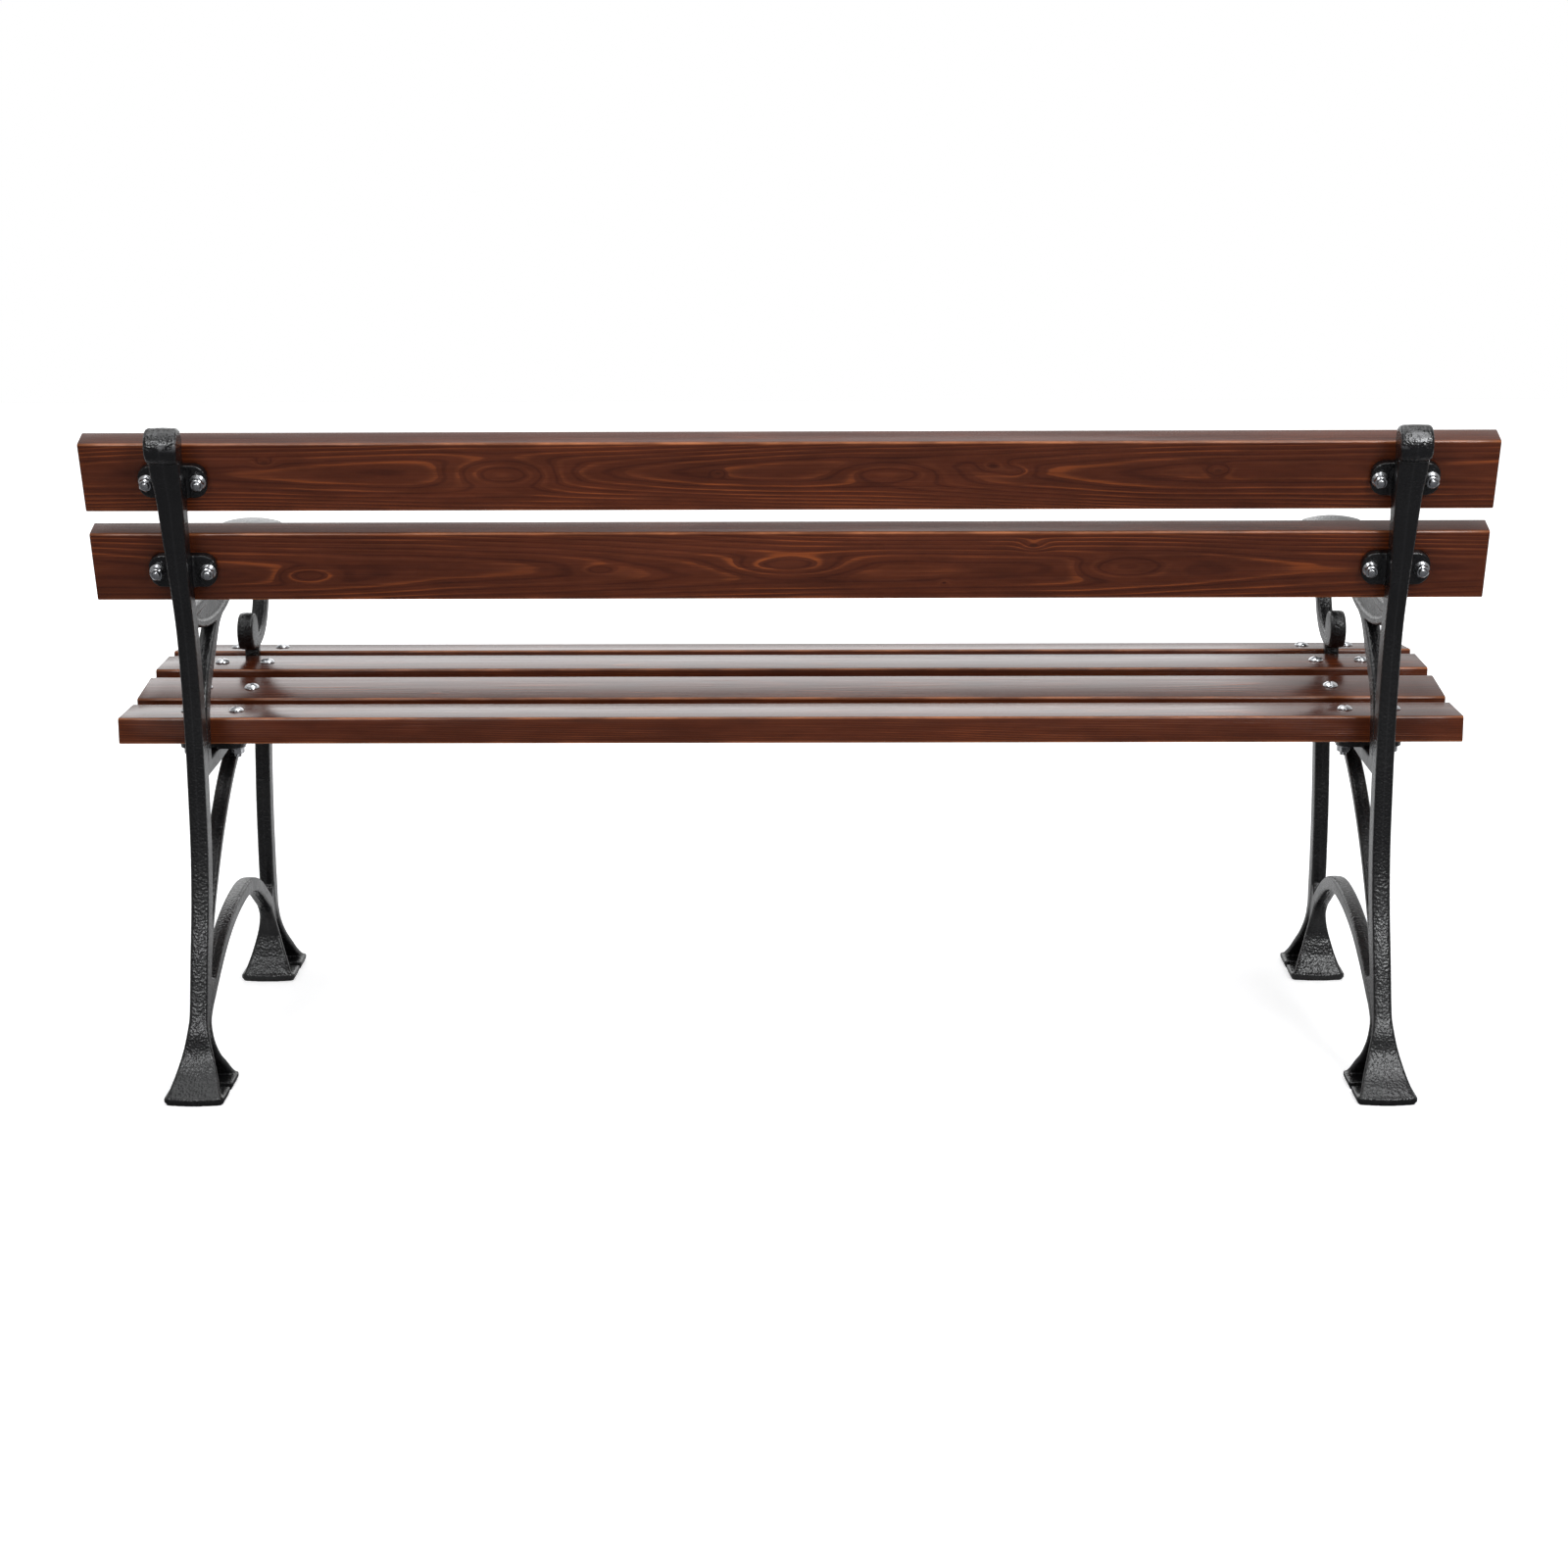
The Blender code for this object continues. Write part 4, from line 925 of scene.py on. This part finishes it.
def strutStations():
    rim = rimStations()
    low = behindSeat("seat_slat_4", lug["thickness"] + iron["railThickness"] / 2)[1]
    wide, thick = iron["strutWidth"], iron["strutThickness"]
    return [
        (rearLeg + 0.0300, low, wide, thick), (rearLeg + 0.0310, low + 0.0300, wide, thick),
        (rearLeg + 0.0345, low + 0.0620, wide, thick), (rearLeg + 0.0450, low + 0.0860, wide, thick),
        (rearLeg + 0.0655, low + 0.1080, wide, thick), (rearLeg + 0.0890, low + 0.1290, wide, thick * 0.92),
        (rim[3][0] + 0.0190, rim[3][1] - 0.0045, wide, thick * 0.65),
        (rim[4][0] + 0.0050, rim[4][1] + 0.0020, wide, iron["rimThickness"]),
    ]


def stubStations():
    low = behindSeat("seat_slat_2", lug["thickness"] + iron["railThickness"] / 2)[1] - 0.0010
    top = arm["height"]
    route = [(frontGap + 0.0010, top - 0.1390), (frontGap, top - 0.1640), (frontGap, low)]
    return [(depth, height, iron["stubWidth"], iron["stubThickness"]) for depth, height in route]


def castingParts():
    # closed shells that overlap; the grid joins them and leaves the fillets of a casting
    shells = bmesh.new()
    castBar(shells, uprightStations())
    castBar(shells, archStations())
    castBar(shells, frontLegStations())
    castBar(shells, railStations())
    castBar(shells, braceStations())
    castBar(shells, strutStations())
    castBar(shells, armStations(), palmSection, 0.003)
    castBar(shells, rimStations())
    castBar(shells, stubStations())
    castRoll(shells, *arm["knob"])
    castRoll(shells, *arm["scroll"])
    # webs below the arm's root and inside the feet
    sidePlate(shells, armStations()[:5] + rimStations()[::-1], iron["webWidth"])
    heel, toe = footPlate(0.0, rearHeel), footPlate(0.0, rearToe)
    crown = [(rearLeg - 0.0625, 0.0680), (rearLeg - 0.0543, 0.0802), (0.0711, 0.0760)]
    sidePlate(shells, heel + crown + toe[::-1], iron["footWebWidth"])
    heel, toe = footPlate(frontFoot, frontHeel), footPlate(frontFoot, frontToe)
    crown = [(frontFoot + 0.0180, 0.0840), (frontLeg + 0.0100, 0.0820), (frontLeg + 0.0121, 0.0691)]
    sidePlate(shells, heel + crown + toe[::-1], iron["footWebWidth"])
    # solid metal where the arch leaves each leg
    sidePlate(shells, [
        (rearLeg - 0.0600, 0.0720), (0.0711, 0.0739), (0.0861, 0.0858), (alongSpan(0.000), 0.1010),
        (alongSpan(0.040), 0.1095), (rearLeg - 0.0330, 0.1270), (rearLeg - 0.0400, 0.1100),
        (rearLeg - 0.0543, 0.0802)], iron["crotchWidth"])
    sidePlate(shells, [
        (frontFoot + 0.0216, 0.0710), (frontLeg + 0.0121, 0.0700), (frontLeg + 0.0092, 0.0860),
        (frontLeg + 0.0015, 0.1200), (frontLeg - 0.0120, 0.1180), (frontFoot + 0.0110, 0.1000),
        (frontFoot + 0.0175, 0.0850)], iron["crotchWidth"])
    for start in (0.0, frontFoot):
        middle = start + foot["length"] / 2
        castPlate(shells, soleOutline(foot["lipInset"]), foot["base"],
                  Matrix.Translation(place(middle, foot["base"] / 2)))
        castPlate(shells, soleOutline(0.0), foot["base"] - foot["lip"],
                  Matrix.Translation(place(middle, (foot["base"] + foot["lip"]) / 2)))
    for name in seats:
        castPlate(shells, roundedOutline(lug["length"], lug["depth"], lug["corner"]), lug["thickness"],
                  seatMatrix(name) @ Matrix.Translation((0, 0, -lug["thickness"] / 2)))
    bmesh.ops.recalc_face_normals(shells, faces=shells.faces)
    mesh = bpy.data.meshes.new("castingShells")
    shells.to_mesh(mesh)
    shells.free()
    return mesh


def makeCastings():
    holder = newObject("castingShells", castingParts())
    joined = holder.modifiers.new("join", "REMESH")
    joined.mode = "VOXEL"
    joined.voxel_size = iron["grid"]
    softened = holder.modifiers.new("soften", "SMOOTH")
    softened.factor = 0.5
    softened.iterations = iron["softenSteps"]
    dense = plainMesh(holder, "casting")
    dense.calc_loop_triangles()
    thinned = holder.modifiers.new("thin", "DECIMATE")
    thinned.ratio = min(1.0, iron["mostFaces"] / len(dense.loop_triangles))
    base = plainMesh(holder, "casting")
    base.calc_loop_triangles()
    print("casting has", len(base.loop_triangles), "of the grid's", len(dense.loop_triangles), "triangles")
    dropObject(holder)
    for side, name in ((1, "frame_left"), (-1, "frame_right")):
        mesh = base.copy()
        mesh.transform(Matrix.Translation((side * frameOffset, 0, 0)))
        for vertex in mesh.vertices:  # soles stay flat on the ground
            vertex.co.z = max(vertex.co.z, 0.0)
        mesh.shade_smooth()
        mesh.materials.append(ironPaint)
        piece = newObject("casting_" + name, mesh)
        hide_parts(name)
        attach(piece, "root")


makeCastings()
print("castings are made")


# bolts and nuts, set on the lugs' bolt places

fastener = {
    "spacing": 0.054,
    "radius": 0.004,
    "headRadius": 0.0085,
    "headHeight": 0.0045,
    "headEdge": 0.0004,
    "slotWidth": 0.0027,
    "slotDepth": 0.0023,
    "threadPitch": 0.00125,
    "threadRoot": 0.86,
    "nutFlats": 0.013,
    "nutHeight": 0.008,
    "nutChamfer": 0.0016,
    "nutPlay": 0.0003,
    "flangeRadius": 0.009,
    "flangeHeight": 0.0026,
    "boltEnd": 0.004,
    "sides": 32,
    "turnSeed": 5,
}


def latheMesh(name, profile, sides):
    # closed body turned about Z from (radius, height), top to bottom
    shape = bmesh.new()
    loops = []
    for radius, height in profile:
        if radius == 0.0:
            loops.append([shape.verts.new((0, 0, height))])
            continue
        loops.append([shape.verts.new((radius * math.cos(2 * math.pi * side / sides),
                                       radius * math.sin(2 * math.pi * side / sides), height))
                      for side in range(sides)])
    for near, far in zip(loops, loops[1:]):
        for index in range(sides):
            following = (index + 1) % sides
            corners = [near[index % len(near)], near[following % len(near)],
                       far[following % len(far)], far[index % len(far)]]
            shape.faces.new(list(dict.fromkeys(corners)))
    bmesh.ops.recalc_face_normals(shape, faces=shape.faces)
    mesh = bpy.data.meshes.new(name)
    shape.to_mesh(mesh)
    shape.free()
    return mesh


def carve(item, tool, operation):
    modifier = item.modifiers.new(operation, "BOOLEAN")
    modifier.operation = operation
    modifier.solver = "EXACT"
    modifier.object = tool


def mendCuts(mesh):
    # the cuts leave some corners twice on one spot
    shape = bmesh.new()
    shape.from_mesh(mesh)
    joinCorners(shape)
    bmesh.ops.dissolve_degenerate(shape, edges=shape.edges, dist=sameSpot)
    shape.to_mesh(mesh)
    shape.free()


def boltProfile():
    head, top, shank = fastener["headRadius"], fastener["headHeight"], fastener["radius"]
    edge, root = fastener["headEdge"], shank * fastener["threadRoot"]
    held = slat["thickness"] + lug["thickness"]
    length = held + fastener["nutHeight"] + 3 * slat["gap"] + fastener["boltEnd"]
    profile = [(0.0, top)]
    for step in range(1, 9):  # domed head
        angle = math.radians(90 - 90 * step / 8.6)
        profile.append((head * math.cos(angle), top * math.sin(angle) ** 1.1))
    profile += [(head, edge), (head - edge, 0.0), (shank, 0.0), (shank, -held)]
    height = -held
    while height > -length + 0.0016:  # rolled thread beyond the lug
        profile += [(root, height - 0.0004), (shank, height - 0.0009)]
        height -= fastener["threadPitch"]
    return profile + [(shank * 0.78, -length + 0.0002), (0.0, -length)]


def boltPrototype():
    item = newObject("bolt", latheMesh("bolt", boltProfile(), fastener["sides"]))
    mesh = bpy.data.meshes.new("slot")
    shape = bmesh.new()
    bmesh.ops.create_cube(shape, size=1.0)
    sizes = (fastener["slotWidth"], fastener["headRadius"] * 2.4, fastener["slotDepth"] * 2, 1.0)
    shape.transform(Matrix.Translation((0, 0, fastener["headHeight"])) @ Matrix.Diagonal(sizes))
    shape.to_mesh(mesh)
    shape.free()
    tool = newObject("slot", mesh)
    carve(item, tool, "DIFFERENCE")
    result = plainMesh(item, "boltPrototype")
    dropObject(item)
    dropObject(tool)
    smoothShade(result, 32)
    return newObject("boltPrototype", result)


def nutPrototype():
    flats, top = fastener["nutFlats"] / 2, fastener["nutHeight"]
    corner = flats / math.cos(math.radians(30))
    flange, rise = fastener["flangeRadius"], fastener["flangeHeight"]
    hole = fastener["radius"] + fastener["nutPlay"]
    hexagon = latheMesh("hexagon", [(0.0, top), (corner, top), (corner, 0.0005), (0.0, 0.0005)], 6)
    chamfer = latheMesh("chamfer", [
        (0.0, top), (flats * 0.90, top), (corner + 0.0004, top - fastener["nutChamfer"]),
        (corner + 0.0004, 0.0003), (0.0, 0.0003)], 48)
    skirt = latheMesh("skirt", [
        (0.0, rise + 0.0004), (flats * 0.96, rise + 0.0003), (flats * 1.06, rise - 0.0003),
        (flange * 0.96, 0.0008), (flange, 0.0003), (flange * 0.99, 0.0), (0.0, 0.0)], 48)
    bore = latheMesh("bore", [
        (0.0, top + 0.001), (hole + 0.0005, top + 0.001), (hole, top - 0.0006),
        (hole, -0.001), (0.0, -0.001)], fastener["sides"])
    body = newObject("nut", hexagon)
    tools = [newObject("chamfer", chamfer), newObject("skirt", skirt), newObject("bore", bore)]
    for tool, operation in zip(tools, ("INTERSECT", "UNION", "DIFFERENCE")):
        carve(body, tool, operation)
    result = plainMesh(body, "nutPrototype")
    mendCuts(result)
    for item in (body, *tools):
        dropObject(item)
    smoothShade(result, 32)
    return newObject("nutPrototype", result)


def scatterTree():
    tree = bpy.data.node_groups.new("setOnPlaces", "GeometryNodeTree")
    face = tree.interface
    for label, kind in (("Geometry", "NodeSocketGeometry"), ("Part", "NodeSocketObject"),
                        ("Size", "NodeSocketFloat"), ("Finish", "NodeSocketMaterial")):
        face.new_socket(label, in_out="INPUT", socket_type=kind)
    face.new_socket("Geometry", in_out="OUTPUT", socket_type="NodeSocketGeometry")
    given = addNode(tree, "NodeGroupInput")
    part = addNode(tree, "GeometryNodeObjectInfo", {"Object": given.outputs["Part"]})
    aim = addNode(tree, "GeometryNodeInputNamedAttribute", {"Name": "aim"}, data_type="FLOAT_VECTOR")
    turn = addNode(tree, "FunctionNodeEulerToRotation", {"Euler": aim.outputs["Attribute"]})
    copies = addNode(tree, "GeometryNodeInstanceOnPoints", {
        "Points": given.outputs["Geometry"], "Instance": part.outputs["Geometry"],
        "Rotation": turn.outputs["Rotation"]})
    size = addNode(tree, "ShaderNodeCombineXYZ", {
        "X": given.outputs["Size"], "Y": given.outputs["Size"], "Z": given.outputs["Size"]})
    tree.links.new(size.outputs[0], copies.inputs["Scale"])
    solid = addNode(tree, "GeometryNodeRealizeInstances", {"Geometry": copies.outputs["Instances"]})
    coated = addNode(tree, "GeometryNodeSetMaterial", {
        "Geometry": solid.outputs[0], "Material": given.outputs["Finish"]})
    addNode(tree, "NodeGroupOutput", {"Geometry": coated.outputs[0]})
    return tree


def makeFasteners():
    tree = scatterTree()
    rng = np.random.default_rng(fastener["turnSeed"])
    for kind, prototype, lift, flip in (
        ("bolt", boltPrototype(), slat["thickness"] + 2 * slat["gap"], False),
        ("nut", nutPrototype(), -lug["thickness"] - slat["gap"], True),
    ):
        spots, aims = [], []
        for name in seats:
            for side in (-1, 1):
                for half in (-0.5, 0.5):
                    matrix = seatMatrix(name) @ Matrix.Translation(
                        (side * frameOffset + half * fastener["spacing"], 0, lift))
                    if flip:
                        matrix = matrix @ Matrix.Rotation(math.pi, 4, "X")
                    # each one stops at its own turn
                    matrix = matrix @ Matrix.Rotation(rng.uniform(0, 2 * math.pi), 4, "Z")
                    spots.append(matrix.translation)
                    aims += list(matrix.to_euler("XYZ"))
        points = bpy.data.meshes.new(kind + "Places")
        points.from_pydata(spots, [], [])
        points.attributes.new("aim", "FLOAT_VECTOR", "POINT").data.foreach_set("vector", aims)
        holder = newObject(kind + "Places", points)
        growth = holder.modifiers.new("set", "NODES")
        growth.node_group = tree
        setInputs(growth, {"Part": prototype, "Size": 1.0, "Finish": zincCoat})
        mesh = plainMesh(holder, kind + "Set")
        dropObject(holder)
        dropObject(prototype)
        piece = newObject(kind + "Set", mesh)
        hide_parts(*[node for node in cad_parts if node.endswith("_" + kind)])
        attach(piece, "root")
        print(kind, "set:", len(mesh.polygons), "faces")


makeFasteners()

bpy.context.scene.view_settings.view_transform = "Standard"
print("all pieces are made")
